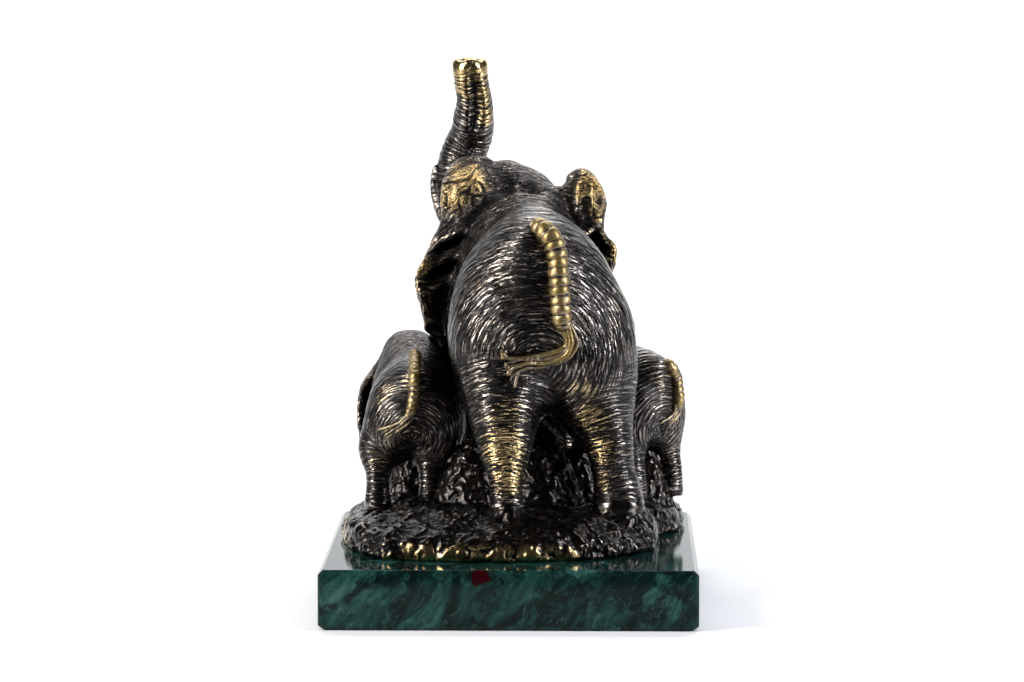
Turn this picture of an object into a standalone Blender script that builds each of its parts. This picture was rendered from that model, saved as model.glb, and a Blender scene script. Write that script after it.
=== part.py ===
"""Bronze elephant group on a green marble slab.

A mother elephant with raised trunk walks away between two calves. The three animals and the
rocky ground under them are one hollow casting, built here as one solid. The slab is a second
piece. Metres, +Z up, the animals' backs to -Y, origin at the middle of the slab's underside.
"""
import math

import bpy
import numpy as np

for item in list(bpy.data.objects):
    bpy.data.objects.remove(item, do_unlink=True)

# Driving sizes in metres.
# GROUND_WIDTH and GROUND_DEPTH are the plan of the cast ground, left to right and front to back.
GROUND_WIDTH = 0.117
GROUND_DEPTH = 0.118
# Height of the ground at its lip and in its middle, and the slope's width between the two.
LIP_HEIGHT = 0.0055
GROUND_HEIGHT = 0.0142
SLOPE_WIDTH = 0.020
# Half the height of the uneven swells of the ground.
GROUND_SWELL = 0.0007
# Marble left bare round the ground: at each side, behind the animals' backs, before their heads.
SIDE_MARGIN = 0.004
NEAR_MARGIN = 0.018
FAR_MARGIN = 0.004
# The slab's thickness and the flats on its long edges and corners.
SLAB_THICKNESS = 0.020
EDGE_CHAMFER = 0.0016
CORNER_CHAMFER = 0.001
# Space between the slab and the casting that stands on it.
REST_GAP = 0.0003
# The mother from rump to trunk, and the calves from rump to forehead.
MOTHER_LENGTH = 0.100
CALF_LENGTH = 0.0625
# Half the thickness of the mother's ears and of the calves' ears.
EAR_HALF = 0.0013
CALF_EAR_HALF = 0.0011
# Thickness of the tails, as their radius.
MOTHER_TAIL_RADIUS = 0.0034
CALF_TAIL_RADIUS = 0.0019
# The step of the grid the casting is worked out on, and the number of facets kept.
GRID_STEP = 0.001
CASTING_FACETS = 9400

SLAB_WIDTH = GROUND_WIDTH + 2 * SIDE_MARGIN
SLAB_DEPTH = GROUND_DEPTH + NEAR_MARGIN + FAR_MARGIN
GROUND_SHIFT = (NEAR_MARGIN - FAR_MARGIN) / 2
GROUND_BASE = SLAB_THICKNESS + REST_GAP
GROUND_TOP = GROUND_BASE + GROUND_HEIGHT


def curve(points, steps):
    """A smooth line through the points; each point may carry its radius as a fourth number."""
    points = np.asarray(points, dtype=float)
    line = []
    for index in range(len(points) - 1):
        before = points[max(index - 1, 0)]
        start = points[index]
        end = points[index + 1]
        after = points[min(index + 2, len(points) - 1)]
        for step in range(steps):
            t = step / steps
            line.append(0.5 * (2 * start + (end - before) * t
                               + (2 * before - 5 * start + 4 * end - after) * t ** 2
                               + (3 * start - before - 3 * end + after) * t ** 3))
    line.append(points[-1])
    return np.array(line)


def refined(sheet, spacing):
    """The same sheet with points no further apart than the spacing along its first way."""
    longest = np.linalg.norm(np.diff(sheet, axis=0), axis=2).sum(axis=0).max()
    rows = max(int(math.ceil(longest / spacing)) + 1, 2)
    place = np.linspace(0, len(sheet) - 1, rows)
    k = np.minimum(place.astype(int), len(sheet) - 2)
    t = (place - k)[:, None, None]
    return sheet[k] + (sheet[k + 1] - sheet[k]) * t


class Clay:
    """Distances to a surface on a grid; shapes are pressed together with soft joins."""

    def __init__(self, low, high, step):
        self.low = np.asarray(low, dtype=float)
        self.step = step
        self.size = np.ceil((np.asarray(high) - self.low) / step).astype(int) + 1
        self.value = np.full(self.size, 0.05, dtype=np.float32)

    def window(self, low, high, margin):
        first = np.floor((np.asarray(low) - margin - self.low) / self.step).astype(int)
        last = np.ceil((np.asarray(high) + margin - self.low) / self.step).astype(int) + 1
        first = np.clip(first, 0, self.size)
        last = np.clip(last, 0, self.size)
        axes = [self.low[k] + self.step * np.arange(first[k], last[k]) for k in range(3)]
        cut = tuple(slice(first[k], last[k]) for k in range(3))
        return cut, axes[0][:, None, None], axes[1][None, :, None], axes[2][None, None, :]

    def press(self, cut, distance, soft):
        """Join a shape to what is there; soft is the width of the rounded join."""
        old = self.value[cut]
        if soft > 0:
            near = np.maximum(soft - np.abs(old - distance), 0) / soft
            self.value[cut] = np.minimum(old, distance) - near ** 2 * soft / 4
        else:
            self.value[cut] = np.minimum(old, distance)

    def carve(self, cut, distance, soft):
        """Take a shape away from what is there."""
        old = self.value[cut]
        near = np.maximum(soft - np.abs(old + distance), 0) / soft
        self.value[cut] = np.maximum(old, -distance) + near ** 2 * soft / 4

    def egg(self, centre, radii, turn=0.0, lean=0.0, soft=0.004, hollow=False):
        """An egg-shaped mass, turned about Z and then leaning forward, angles in degrees."""
        radii = np.asarray(radii, dtype=float)
        reach = radii.max()
        cut, x, y, z = self.window(np.asarray(centre) - reach, np.asarray(centre) + reach,
                                   1.5 * soft + 2 * self.step)
        x = x - centre[0]
        y = y - centre[1]
        z = z - centre[2]
        c = math.cos(math.radians(turn))
        s = math.sin(math.radians(turn))
        u = c * x + s * y
        v = -s * x + c * y
        c = math.cos(math.radians(lean))
        s = math.sin(math.radians(lean))
        w = c * z - s * v
        v = c * v + s * z
        level = np.sqrt((u / radii[0]) ** 2 + (v / radii[1]) ** 2 + (w / radii[2]) ** 2)
        slope = np.sqrt((u / radii[0] ** 2) ** 2 + (v / radii[1] ** 2) ** 2
                        + (w / radii[2] ** 2) ** 2) + 1e-9
        distance = level * (level - 1) / slope
        if hollow:
            self.carve(cut, distance, soft)
        else:
            self.press(cut, distance, soft)

    def limb(self, points, steps=5, soft=0.004, hollow=False):
        """A round limb along a smooth line of points with radii."""
        line = curve(points, steps)
        reach = line[:, 3].max()
        cut, x, y, z = self.window(line[:, :3].min(axis=0) - reach, line[:, :3].max(axis=0) + reach,
                                   1.5 * soft + 2 * self.step)
        distance = None
        for start, end in zip(line[:-1], line[1:]):
            along = end[:3] - start[:3]
            length = max(float(along @ along), 1e-12)
            px = x - start[0]
            py = y - start[1]
            pz = z - start[2]
            t = np.clip((px * along[0] + py * along[1] + pz * along[2]) / length, 0, 1)
            gap = np.sqrt((px - t * along[0]) ** 2 + (py - t * along[1]) ** 2
                          + (pz - t * along[2]) ** 2) - (start[3] + t * (end[3] - start[3]))
            distance = gap if distance is None else np.minimum(distance, gap)
        if hollow:
            self.carve(cut, distance, soft)
        else:
            self.press(cut, distance, soft)

    def leaf(self, sheet, half, soft=0.002):
        """A thin sheet given as a grid of points, made half as thick to each side."""
        sheet = refined(refined(sheet, half * 0.6).swapaxes(0, 1), half * 0.6)
        dots = sheet.reshape(-1, 3)
        margin = 1.5 * soft + 2 * self.step
        cut, x, y, z = self.window(dots.min(axis=0) - half, dots.max(axis=0) + half, margin)
        reach = int(math.ceil((half + margin) / self.step))
        distance = np.full((x.size, y.size, z.size), half + margin, dtype=np.float32)
        first = np.array([x.flat[0], y.flat[0], z.flat[0]])
        nearest = np.round((dots - first) / self.step).astype(int)
        span = np.arange(-reach, reach + 1)
        for i in span:
            for j in span:
                cell = nearest[:, None, :] + np.stack(
                    np.broadcast_arrays(i, j, span), axis=1)[None, :, :]
                away = np.linalg.norm(first + cell * self.step - dots[:, None, :], axis=2)
                ok = np.all((cell >= 0) & (cell < distance.shape), axis=2)
                place = cell[ok]
                np.minimum.at(distance, tuple(place.T), away[ok].astype(np.float32))
        self.press(cut, distance - half, soft)

    def back_skin(self, x, z):
        """The Y of the first skin met by someone looking along +Y at this X and Z."""
        i = int(round((x - self.low[0]) / self.step))
        k = int(round((z - self.low[2]) / self.step))
        inside = np.nonzero(self.value[i, :, k] < 0)[0]
        return self.low[1] + self.step * (inside[0] if len(inside) else self.size[1] // 2)

    def close_pinches(self):
        """Fill the cells where two parts of the surface would touch at a point or an edge."""
        corners = [(i, j, k) for i in (0, 1) for j in (0, 1) for k in (0, 1)]
        pinched = np.zeros(256, dtype=bool)
        for code in range(256):
            for side in (0, 1):
                chosen = [c for n, c in enumerate(corners) if (code >> n & 1) == side]
                if not chosen:
                    continue
                reached = [chosen[0]]
                for c in reached:
                    for d in chosen:
                        if d not in reached and sum(abs(a - b) for a, b in zip(c, d)) == 1:
                            reached.append(d)
                if len(reached) < len(chosen):
                    pinched[code] = True
        v = self.value
        for _ in range(20):
            code = np.zeros([n - 1 for n in v.shape], dtype=np.uint8)
            for n, (i, j, k) in enumerate(corners):
                part = v[i:v.shape[0] - 1 + i, j:v.shape[1] - 1 + j, k:v.shape[2] - 1 + k]
                code |= (part < 0).astype(np.uint8) << n
            cells = np.argwhere(pinched[code])
            if not len(cells):
                break
            for corner in corners:
                place = tuple((cells + corner).T)
                v[place] = np.minimum(v[place], -0.05 * self.step)

    def skin(self):
        """The surface as points and four-sided faces, one point in each cell it passes."""
        self.close_pinches()
        v = self.value
        inside = v < 0
        total = np.zeros([n - 1 for n in v.shape] + [3], dtype=np.float32)
        hits = np.zeros([n - 1 for n in v.shape], dtype=np.float32)
        for axis in range(3):
            first = [slice(None)] * 3
            second = [slice(None)] * 3
            first[axis] = slice(0, -1)
            second[axis] = slice(1, None)
            a = v[tuple(first)]
            b = v[tuple(second)]
            crossing = (a < 0) != (b < 0)
            t = np.where(crossing, a / np.where(crossing, a - b, 1), 0).astype(np.float32)
            others = [k for k in range(3) if k != axis]
            for shift_a in (0, 1):
                for shift_b in (0, 1):
                    view = [slice(None)] * 3
                    view[others[0]] = slice(shift_a, v.shape[others[0]] - 1 + shift_a)
                    view[others[1]] = slice(shift_b, v.shape[others[1]] - 1 + shift_b)
                    cross = crossing[tuple(view)]
                    hits += cross
                    total[..., axis] += np.where(cross, t[tuple(view)], 0)
                    total[..., others[0]] += np.where(cross, shift_a, 0)
                    total[..., others[1]] += np.where(cross, shift_b, 0)
        cells = np.argwhere(hits > 0)
        number = np.full(hits.shape, -1, dtype=np.int64)
        number[tuple(cells.T)] = np.arange(len(cells))
        local = total[tuple(cells.T)] / hits[tuple(cells.T)][:, None]
        points = self.low + (cells + local) * self.step
        faces = []
        for axis in range(3):
            first = [slice(1, -1)] * 3
            second = [slice(1, -1)] * 3
            first[axis] = slice(0, -1)
            second[axis] = slice(1, None)
            a = inside[tuple(first)]
            b = inside[tuple(second)]
            edges = np.argwhere(a != b)
            outward = a[tuple(edges.T)]
            base = edges + 1
            base[:, axis] -= 1
            p = (axis + 1) % 3
            q = (axis + 2) % 3
            ring = []
            for shift_p, shift_q in ((-1, -1), (0, -1), (0, 0), (-1, 0)):
                corner = base.copy()
                corner[:, p] += shift_p
                corner[:, q] += shift_q
                ring.append(number[tuple(corner.T)])
            ring = np.stack(ring, axis=1)
            ring[~outward] = ring[~outward][:, ::-1]
            faces.append(ring)
        return points, np.concatenate(faces)


def group_place(point):
    """A place in the group. The mother's forms are written in hundredths of her length,
    sideways and forwards from the middle of the slab and up from the ground she stands on."""
    return np.array([0, 0, GROUND_TOP]) + np.asarray(point, dtype=float) * MOTHER_LENGTH / 100


def calf_place(foot, turn):
    """Places in a calf, in hundredths of its length. Its rump stands over foot, given as shares
    of the ground's half width and half depth, and it heads turn degrees to the left."""
    c = math.cos(math.radians(turn))
    s = math.sin(math.radians(turn))
    base = np.array([foot[0] * GROUND_WIDTH / 2, foot[1] * GROUND_DEPTH / 2 + GROUND_SHIFT,
                     GROUND_TOP])

    def at(point):
        x, y, z = point
        return base + np.array([c * x - s * y, s * x + c * y, z]) * CALF_LENGTH / 100

    return at


def shapers(clay, at, size, turn=0.0):
    """The tools limb and egg for one animal, with all their numbers in hundredths."""

    def limb(points, soft, **more):
        clay.limb([np.append(at(p[:3]), p[3] * size) for p in points], soft=soft * size, **more)

    def egg(centre, radii, soft, heading=0.0, **more):
        clay.egg(at(centre), np.asarray(radii) * size, soft=soft * size, turn=turn + heading,
                 **more)

    return limb, egg


def sheet_between(root, margin, across, bulge, flutes):
    """An ear: a grid of points from its root line to its free edge, bulging and fluted."""
    rows = len(margin)
    root = np.asarray(root, dtype=float)
    bulge = np.asarray(bulge)
    grid = np.zeros((rows, across, 3))
    for row in range(rows):
        share = row / (rows - 1)
        place = share * (len(root) - 1)
        k = min(int(place), len(root) - 2)
        inner = root[k] + (root[k + 1] - root[k]) * (place - k)
        for column in range(across):
            t = column / (across - 1)
            push = math.sin(math.pi * t) * math.sin(math.pi * share)
            push += flutes * t * math.sin(share * 6 * math.pi)
            grid[row, column] = inner + (margin[row] - inner) * t + bulge * push
    return grid


def build_mother(clay):
    """The mother's body, legs, head, trunk and tusks."""
    limb, egg = shapers(clay, group_place, MOTHER_LENGTH / 100)
    # Rump, ribs, shoulders and the ridge of the back.
    egg((8, -5, 65.5), (28, 26, 31.5), soft=6)
    egg((5, 18, 60.5), (26, 34, 30), soft=8)
    egg((3, 34, 66.5), (23, 17, 31), soft=8)
    limb([(8, -17, 87, 8), (7, 0, 88.5, 9), (5, 16, 89.5, 9), (3, 32, 89.5, 11)], soft=12)
    # Hind legs: the right one upright, the left one stretched back.
    egg((25.2, -8, 48.5), (15.6, 19, 26), soft=9)
    limb([(25, -6, 55.5, 15), (28, -8, 39.5, 13), (32.5, -13, 22.5, 8.8), (34.5, -15, 11.5, 7.4),
          (36, -17, 3.5, 8.4), (36.4, -18, -0.5, 9)], soft=8)
    egg((-2.5, -11, 53.5), (17, 18, 25), soft=9)
    limb([(-3, -10, 55.5, 15), (-2.6, -17, 39.5, 14), (-2, -26, 22.5, 9.6),
          (-1.6, -30, 12.5, 6.2), (-1.4, -31, 6.5, 5.4), (-1.2, -31.5, 0.5, 6.4)], soft=7)
    # Forelegs.
    limb([(17, 30, 59.5, 15), (18, 28, 39.5, 10.6), (17, 27, 21.5, 8), (16.5, 28, 9.5, 7.6),
          (16.5, 29, 1.5, 8.6)], soft=8)
    limb([(-10, 34, 59.5, 14), (-11, 37, 39.5, 10.6), (-12, 40, 21.5, 8), (-12, 41, 9.5, 7.6),
          (-12, 42, 1.5, 8.6)], soft=8)
    # Neck, the two domes of the skull, the cheeks and the jaw; the head is turned to the left.
    limb([(3, 26, 78.5, 19), (2.5, 38, 89.5, 16), (1, 46, 94.5, 13)], soft=8)
    egg((-4, 43, 101.5), (11, 12, 11.6), heading=40, soft=4)
    egg((4.2, 45, 99), (9.4, 12, 10.4), heading=40, soft=4)
    egg((-4, 50, 91.5), (14, 14, 14), heading=40, soft=6)
    limb([(-3, 49, 84.5, 9), (-9, 55, 80.5, 6.5), (-14, 60, 79.5, 4)], soft=5)
    # The trunk goes forward, then up and back over the brow, with a channel on its underside,
    # which faces back up there, and a hollow mouth at its tip.
    limb([(-5, 50, 95.5, 13), (-12, 54.5, 94.5, 11), (-17, 56.5, 99.5, 9.6),
          (-19, 57.5, 108.5, 8.6), (-17.8, 57, 115.5, 8.1), (-15.4, 54.5, 121.5, 7.6),
          (-14.6, 51, 127.5, 7.2), (-14.2, 48, 133, 6.4), (-15, 45.5, 139, 6.1),
          (-15.4, 44, 143.5, 6.2), (-15.6, 43.5, 145.5, 6.4)], soft=5)
    limb([(-14.6, 36.6, 143.5, 1.4), (-14.1, 38.6, 139, 2.1), (-13.2, 40.8, 133, 2.4),
          (-13.4, 43.4, 128, 2.1), (-14.6, 46.2, 123.5, 1.0)], soft=1.5, hollow=True)
    egg((-15.9, 43.6, 152.5), (5.2, 5.2, 7), soft=1, hollow=True)
    egg((-15.9, 43.6, 157.5), (12, 12, 9.4), soft=1, hollow=True)
    # Tusks.
    limb([(-12, 47, 85.5, 3.2), (-19, 52, 85, 2.9), (-25, 55.5, 91.5, 2.4), (-28, 56.5, 99.5, 2),
          (-28.8, 56.5, 105, 1.5), (-28.4, 56, 109.5, 0.9)], soft=1.5)
    limb([(3, 54, 85.5, 3.2), (1, 60.5, 84, 2.9), (-2.5, 64, 89, 2.4), (-5, 65, 96.5, 2),
          (-6.5, 65, 102.5, 1.3)], soft=1.5)


def build_mother_ears(clay):
    """Her ears, each a hanging sheet with its top folded over to the back and pleats below."""
    size = MOTHER_LENGTH / 100
    limb, egg = shapers(clay, group_place, size)

    def line(points, steps):
        return curve([group_place(p) for p in points], steps)

    def sheet(inner, outer, across, bulge, flutes, half):
        grid = sheet_between(inner, outer, across, np.array(bulge) * size, flutes)
        clay.leaf(grid, half, soft=2 * size)

    root = line([(-8, 42, 109.5), (-9, 41, 99.5), (-9, 41, 89.5), (-8, 42, 79.5)], 4)
    edge = line([(-10, 38, 113), (-17, 34.5, 113.5), (-22.6, 32, 108.5), (-24.6, 31, 101.5),
                 (-24.4, 29, 93.5), (-27, 27, 85), (-30.6, 25, 78), (-33.4, 24, 72.5),
                 (-32.2, 24, 66.5), (-30.6, 24, 60.5), (-28.6, 25, 54.5), (-23, 30, 52.5),
                 (-17, 35, 57.5), (-12, 39, 67.5)], 3)
    sheet(root, edge, 12, (-2, 4, 0), 0.25, EAR_HALF)
    fold = line([(-6, 39, 109), (-9.5, 37, 112.5), (-16, 34, 113.5), (-20.8, 32, 109.5),
                 (-23.6, 30.5, 103)], 4)
    free = line([(-4.5, 33, 104.5), (-8.5, 29, 102), (-13, 26.5, 98.5), (-17.5, 25.5, 95),
                 (-23, 27, 94)], 4)
    sheet(free, fold, 9, (0, -1.6, 0.6), 0.8, EAR_HALF * 1.15)
    limb([(-2.5, 34, 101, 3), (-8, 30, 96.5, 3.4), (-14, 27.5, 92.5, 3), (-20, 26.5, 89.5, 2.4),
          (-26, 27, 86, 1.5)], soft=3)
    limb([(-4, 37, 93, 3.4), (-10, 32.5, 87, 3.2), (-17, 29.5, 83, 2.6), (-24, 27, 80, 2),
          (-30, 25.5, 76, 1.4)], soft=3)
    limb([(-6, 39, 84, 3), (-13, 34, 77.5, 2.8), (-20, 30, 74, 2.3), (-27, 27, 71, 1.7),
          (-32, 25, 67.5, 1.2)], soft=3)
    root = line([(13, 46, 100.5), (14, 45, 94.5), (14, 44, 88.5), (13, 44, 79.5)], 4)
    edge = line([(16, 43, 101), (19.4, 38.5, 106), (23.4, 36, 109.1), (27, 34, 107),
                 (30, 32, 102.5), (30.8, 30.5, 97.5), (30, 29, 91), (31.8, 27.5, 87),
                 (35.2, 26.5, 83.5), (34.2, 26.5, 78.5), (31.5, 28, 72.5), (27, 32, 65.5),
                 (22, 37, 64.5), (17, 41, 70.5)], 3)
    sheet(root, edge, 12, (2, 4, 0), 0.25, EAR_HALF)
    fold = line([(19.5, 38, 107.5), (23.4, 35.5, 109.1), (27.5, 33.5, 106.5), (30, 32, 102)], 4)
    free = line([(19, 33.5, 99), (21.5, 30.5, 93), (25, 29, 88.5), (28.8, 29, 92.5)], 4)
    sheet(free, fold, 8, (0, -1.4, 0), 0.8, EAR_HALF * 1.15)
    egg((15.6, 35, 95), (5.4, 5, 9.5), soft=3)
    limb([(14, 37, 86, 3), (20, 32.5, 82, 2.6), (26, 29, 80.5, 2), (32, 27, 80.5, 1.3)], soft=3)


def build_calf(clay, at, turn, ear_lift, leg_shift):
    """A calf. leg_shift moves its hind feet sideways; ear_lift raises its left and right ear."""
    size = CALF_LENGTH / 100
    limb, egg = shapers(clay, at, size, turn)
    egg((0, 26, 49.5), (25, 26, 25.5), soft=6)
    egg((0, 46, 47.5), (24, 30, 26), soft=8)
    egg((0, 64, 51.5), (20, 16, 26), soft=8)
    limb([(0, 10, 66.5, 7), (0, 30, 68, 8), (0, 50, 68, 9), (0, 64, 70, 9)], soft=10)
    for side in (-1, 1):
        egg((side * 12, 20, 39.5), (13, 16, 22), soft=8)
        x = side * 14.5 + leg_shift
        limb([(side * 13, 22, 39.5, 12.5), (x + side, 20, 27.5, 9.6), (x, 14, 16, 6.8),
              (x, 12, 5.5, 6.6), (x, 13, -2.5, 7.8)], soft=8)
        limb([(side * 11, 64, 41.5, 12), (side * 12, 66, 25.5, 9), (side * 12, 66, 11.5, 7.6),
              (side * 12, 67, -2.5, 8.6)], soft=8)
    limb([(0, 60, 59.5, 18), (0, 74, 68.5, 16)], soft=8)
    egg((0, 82, 67.5), (14, 15, 15.5), soft=6)
    egg((-4.2, 81, 75), (8.2, 11, 9.5), soft=5)
    egg((4.2, 81, 75), (8.2, 11, 9.5), soft=5)
    limb([(0, 84, 57.5, 9), (0, 92, 51.5, 5)], soft=5)
    limb([(0, 88, 67.5, 12), (0, 93, 59.5, 9.2), (0, 95.5, 47.5, 7.4), (0, 95.5, 33.5, 6.2),
          (0, 92, 19.5, 5.2), (0, 91, 5.5, 5)], soft=5)
    for side, lift in zip((-1, 1), ear_lift):
        root = curve([at(p) for p in ((side * 11, 80, 77.5), (side * 14, 79, 67.5),
                                      (side * 12, 79, 55.5))], 4)
        edge = curve([at(p) for p in ((side * 14, 77, 81.5 + lift / 2), (side * 20, 72, 81.5 + lift),
                                      (side * 26, 68, 75.5 + lift), (side * 28.5, 66, 67.5 + lift),
                                      (side * 29, 65, 55.5 + lift), (side * 27.5, 65, 43.5 + lift),
                                      (side * 25, 66, 34.5 + lift), (side * 20, 72, 39.5 + lift),
                                      (side * 15, 77, 47.5 + lift / 2))], 3)
        bulge = at((0, 6, 0)) - at((0, 0, 0))
        clay.leaf(sheet_between(root, edge, 8, bulge, 0.2), CALF_EAR_HALF, soft=3 * size)


def build_tail(clay, at, size, root, path, strands, radius):
    """A tail laid on the rump: it follows the skin met behind its places, seen from the back."""

    def laid(places, sink):
        line = []
        for x, z, share in places:
            px, _, pz = at((x, 0, z))
            line.append((px, clay.back_skin(px, pz) - radius * sink, pz, radius * share))
        return line

    start = laid([root], -1.4)
    clay.limb(start + laid(path, 0.35), steps=4, soft=1.2 * size)
    for strand in strands:
        clay.limb(laid(strand, 0.3), steps=4, soft=size)


def build_ground(clay, outline, mounds):
    """The rocky ground: a pad with a rough lip, rising inwards, and mounds round the feet."""
    low = clay.low
    x = low[0] + clay.step * np.arange(clay.size[0])[:, None]
    y = low[1] + clay.step * np.arange(clay.size[1])[None, :]
    line = np.asarray(outline)
    after = np.roll(line, -1, axis=0)
    gap = np.full((clay.size[0], clay.size[1]), 1.0)
    crossings = np.zeros(gap.shape, dtype=int)
    for (ax, ay), (bx, by) in zip(line, after):
        dx = bx - ax
        dy = by - ay
        t = np.clip(((x - ax) * dx + (y - ay) * dy) / (dx * dx + dy * dy), 0, 1)
        gap = np.minimum(gap, np.hypot(x - ax - t * dx, y - ay - t * dy))
        if ay != by:
            spans = (ay > y) != (by > y)
            crossings += (spans & (x < ax + (y - ay) * dx / dy)).astype(int)
    inward = np.where(crossings % 2 == 1, gap, -gap)
    rise = np.clip(inward / SLOPE_WIDTH, 0, 1)
    p = x / GROUND_WIDTH
    q = y / GROUND_WIDTH
    rough = (np.sin(36 * p + 1.3) * np.sin(32 * q + 0.4) + 0.7 * np.sin(61 * p + 46 * q + 2.0)
             + 0.6 * np.sin(75 * p - 53 * q + 1.0))
    height = GROUND_BASE + LIP_HEIGHT + (GROUND_HEIGHT - LIP_HEIGHT) * rise ** 0.8
    height = height + GROUND_SWELL * rough
    for place, radius, tall in mounds:
        mx, my, top = group_place((*place, tall))
        away = np.hypot(x - mx, y - my) / (radius * MOTHER_LENGTH / 100)
        height = np.maximum(height, top - (top - GROUND_BASE) * np.clip(away, 0, 2) ** 2)
    z = low[2] + clay.step * np.arange(clay.size[2])[None, None, :]
    above = (z - height[:, :, None]) * 0.75
    wall = -inward[:, :, None] + GROUND_SWELL / 2 * rough[:, :, None] + np.zeros_like(above)
    soft = LIP_HEIGHT / 2
    near = np.maximum(soft - np.abs(above - wall), 0) / soft
    body = np.maximum(above, wall) + near ** 2 * soft / 4
    everywhere = (slice(None), slice(None), slice(None))
    clay.press(everywhere, body.astype(np.float32), soft)
    clay.value[:] = np.maximum(clay.value, (GROUND_BASE - z).astype(np.float32))


def field_for(calves):
    """An empty field that holds the ground, the mother and the calves, with room to spare."""
    half_w = SLAB_WIDTH / 2
    half_d = SLAB_DEPTH / 2
    corners = [(-half_w, -half_d, GROUND_BASE), (half_w, half_d, GROUND_BASE)]
    corners += [group_place(p) for p in ((-38, -42, 0), (46, 71, 160))]
    for at in calves:
        corners += [at((x, y, 95)) for x in (-34, 34) for y in (-6, 108)]
    margin = 3.5 * GRID_STEP
    low = np.min(corners, axis=0) - margin
    high = np.max(corners, axis=0) + margin
    return Clay(low, high, GRID_STEP)


def casting():
    """All the bronze in one field, and its skin."""
    left = calf_place((-0.548, -0.305), 5)
    right = calf_place((0.92, 0.237), 46)
    clay = field_for((left, right))
    build_mother(clay)
    build_mother_ears(clay)
    build_calf(clay, left, 5, (-18, 4), -6.5)
    build_calf(clay, right, 46, (-4, -4), 0)
    # Tails: root, path and strands of the tuft as (sideways, height, share of the radius).
    path = [(12, 93, 1), (14.5, 89.5, 1), (15.7, 84.5, 1), (16.2, 78.5, 1), (16.6, 71.5, 1),
            (17.2, 64.5, 1)]
    strands = [[(17, 65.5, 0.8), (16, 59.5, 0.75), (17, 54.5, 0.7), (14, 52, 0.7), (9, 50.5, 0.8),
                (4, 49.5, 0.9), (0, 48.5, 0.9), (-2, 47, 0.7)],
               [(18, 64.5, 0.7), (20.4, 60.5, 0.7), (20.8, 56.5, 0.7), (17.5, 52.5, 0.7),
                (11, 50, 0.7), (5, 47.5, 0.8), (1.5, 43.5, 0.7)],
               [(6, 50, 0.8), (2.5, 51.5, 0.9), (-2, 52, 0.7)]]
    build_tail(clay, group_place, MOTHER_LENGTH / 100, (7.5, 95.5, 0.9), path, strands,
               MOTHER_TAIL_RADIUS)

    def beside(at):
        """The same places as seen from behind, for a calf that is not turned."""
        base = at((0, 0, 0))
        return lambda point: base + np.asarray(point, dtype=float) * CALF_LENGTH / 100

    path = [(-1.9, 77.5, 1), (-1.3, 69.5, 1), (-1.3, 60, 1), (-2.9, 50.4, 1)]
    strands = [[(-2.9, 50.4, 0.8), (-8.2, 42.4, 0.8), (-16.2, 36.8, 1), (-21, 32.8, 0.9)]]
    build_tail(clay, beside(left), CALF_LENGTH / 100, (-2.6, 78, 0.95), path, strands,
               CALF_TAIL_RADIUS)
    path = [(1.3, 67.3, 1), (4, 61, 1), (5.1, 51.4, 1), (4.5, 43.4, 1)]
    strands = [[(4.5, 43.4, 0.8), (1.1, 38.6, 0.9), (-2.9, 34.6, 0.8)]]
    build_tail(clay, beside(right), CALF_LENGTH / 100, (-5.3, 74.5, 0.95), path, strands,
               CALF_TAIL_RADIUS)
    # The plan of the ground, as shares of its half width and half depth.
    plan = [(-0.73, -0.93), (-0.34, -1.0), (0.12, -1.0), (0.52, -0.87), (0.8, -0.58),
            (0.84, -0.3), (0.86, 0.0), (0.93, 0.12), (0.99, 0.3), (1.0, 0.62), (0.86, 0.82),
            (0.5, 0.95), (0.16, 1.0), (-0.2, 0.96), (-0.52, 0.88), (-0.8, 0.74), (-0.95, 0.45),
            (-1.0, 0.08), (-0.97, -0.25), (-0.92, -0.6)]
    outline = curve([(x * GROUND_WIDTH / 2, y * GROUND_DEPTH / 2 + GROUND_SHIFT)
                     for x, y in plan + plan[:1]], 4)[:-1]
    # Mounds as place, radius and height above the ground, in hundredths of the mother's length.
    mounds = [((-1, -32), 12, 5), ((37, -16), 17, 3.5), ((10, -4), 17, 25), ((7, 18), 22, 27),
              ((-14, -3), 18, 21), ((-34, 22), 13, 19), ((23, 8), 11, 20), ((47, 31), 10, 14)]
    build_ground(clay, outline, mounds)
    return clay.skin()


def material(name, colour, metallic, roughness):
    item = bpy.data.materials.new(name)
    item.use_nodes = True
    shader = item.node_tree.nodes["Principled BSDF"]
    shader.inputs["Base Color"].default_value = (*colour, 1.0)
    shader.inputs["Metallic"].default_value = metallic
    shader.inputs["Roughness"].default_value = roughness
    return item


def largest_shell(points, faces):
    """Only the outer skin: the small shells round spaces sealed inside are dropped."""
    label = np.arange(len(points))
    while True:
        lowest = label[faces].min(axis=1)
        grown = label.copy()
        for column in range(4):
            np.minimum.at(grown, faces[:, column], lowest)
        grown = grown[grown]
        if np.array_equal(grown, label):
            break
        label = grown
    names, sizes = np.unique(label, return_counts=True)
    keep = label == names[sizes.argmax()]
    number = np.cumsum(keep) - 1
    return points[keep], number[faces[keep[faces[:, 0]]]]


def add_node(name, points, faces, surface):
    mesh = bpy.data.meshes.new(name)
    mesh.from_pydata([tuple(p) for p in points], [], [tuple(int(i) for i in f) for f in faces])
    mesh.update()
    node = bpy.data.objects.new(name, mesh)
    node.data.materials.append(surface)
    bpy.context.scene.collection.objects.link(node)
    return node


# The casting.
points, faces = largest_shell(*casting())
flat = points[:, 2] < GROUND_BASE + 0.6 * GRID_STEP
points[flat, 2] = GROUND_BASE
bronze = material("bronze_patina", (0.10, 0.075, 0.055), 1.0, 0.38)
group = add_node("bronze_group", points, faces, bronze)
thin = group.modifiers.new("facets", "DECIMATE")
thin.decimate_type = "COLLAPSE"
thin.use_collapse_triangulate = True
thin.ratio = CASTING_FACETS / (2 * len(faces))

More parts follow.
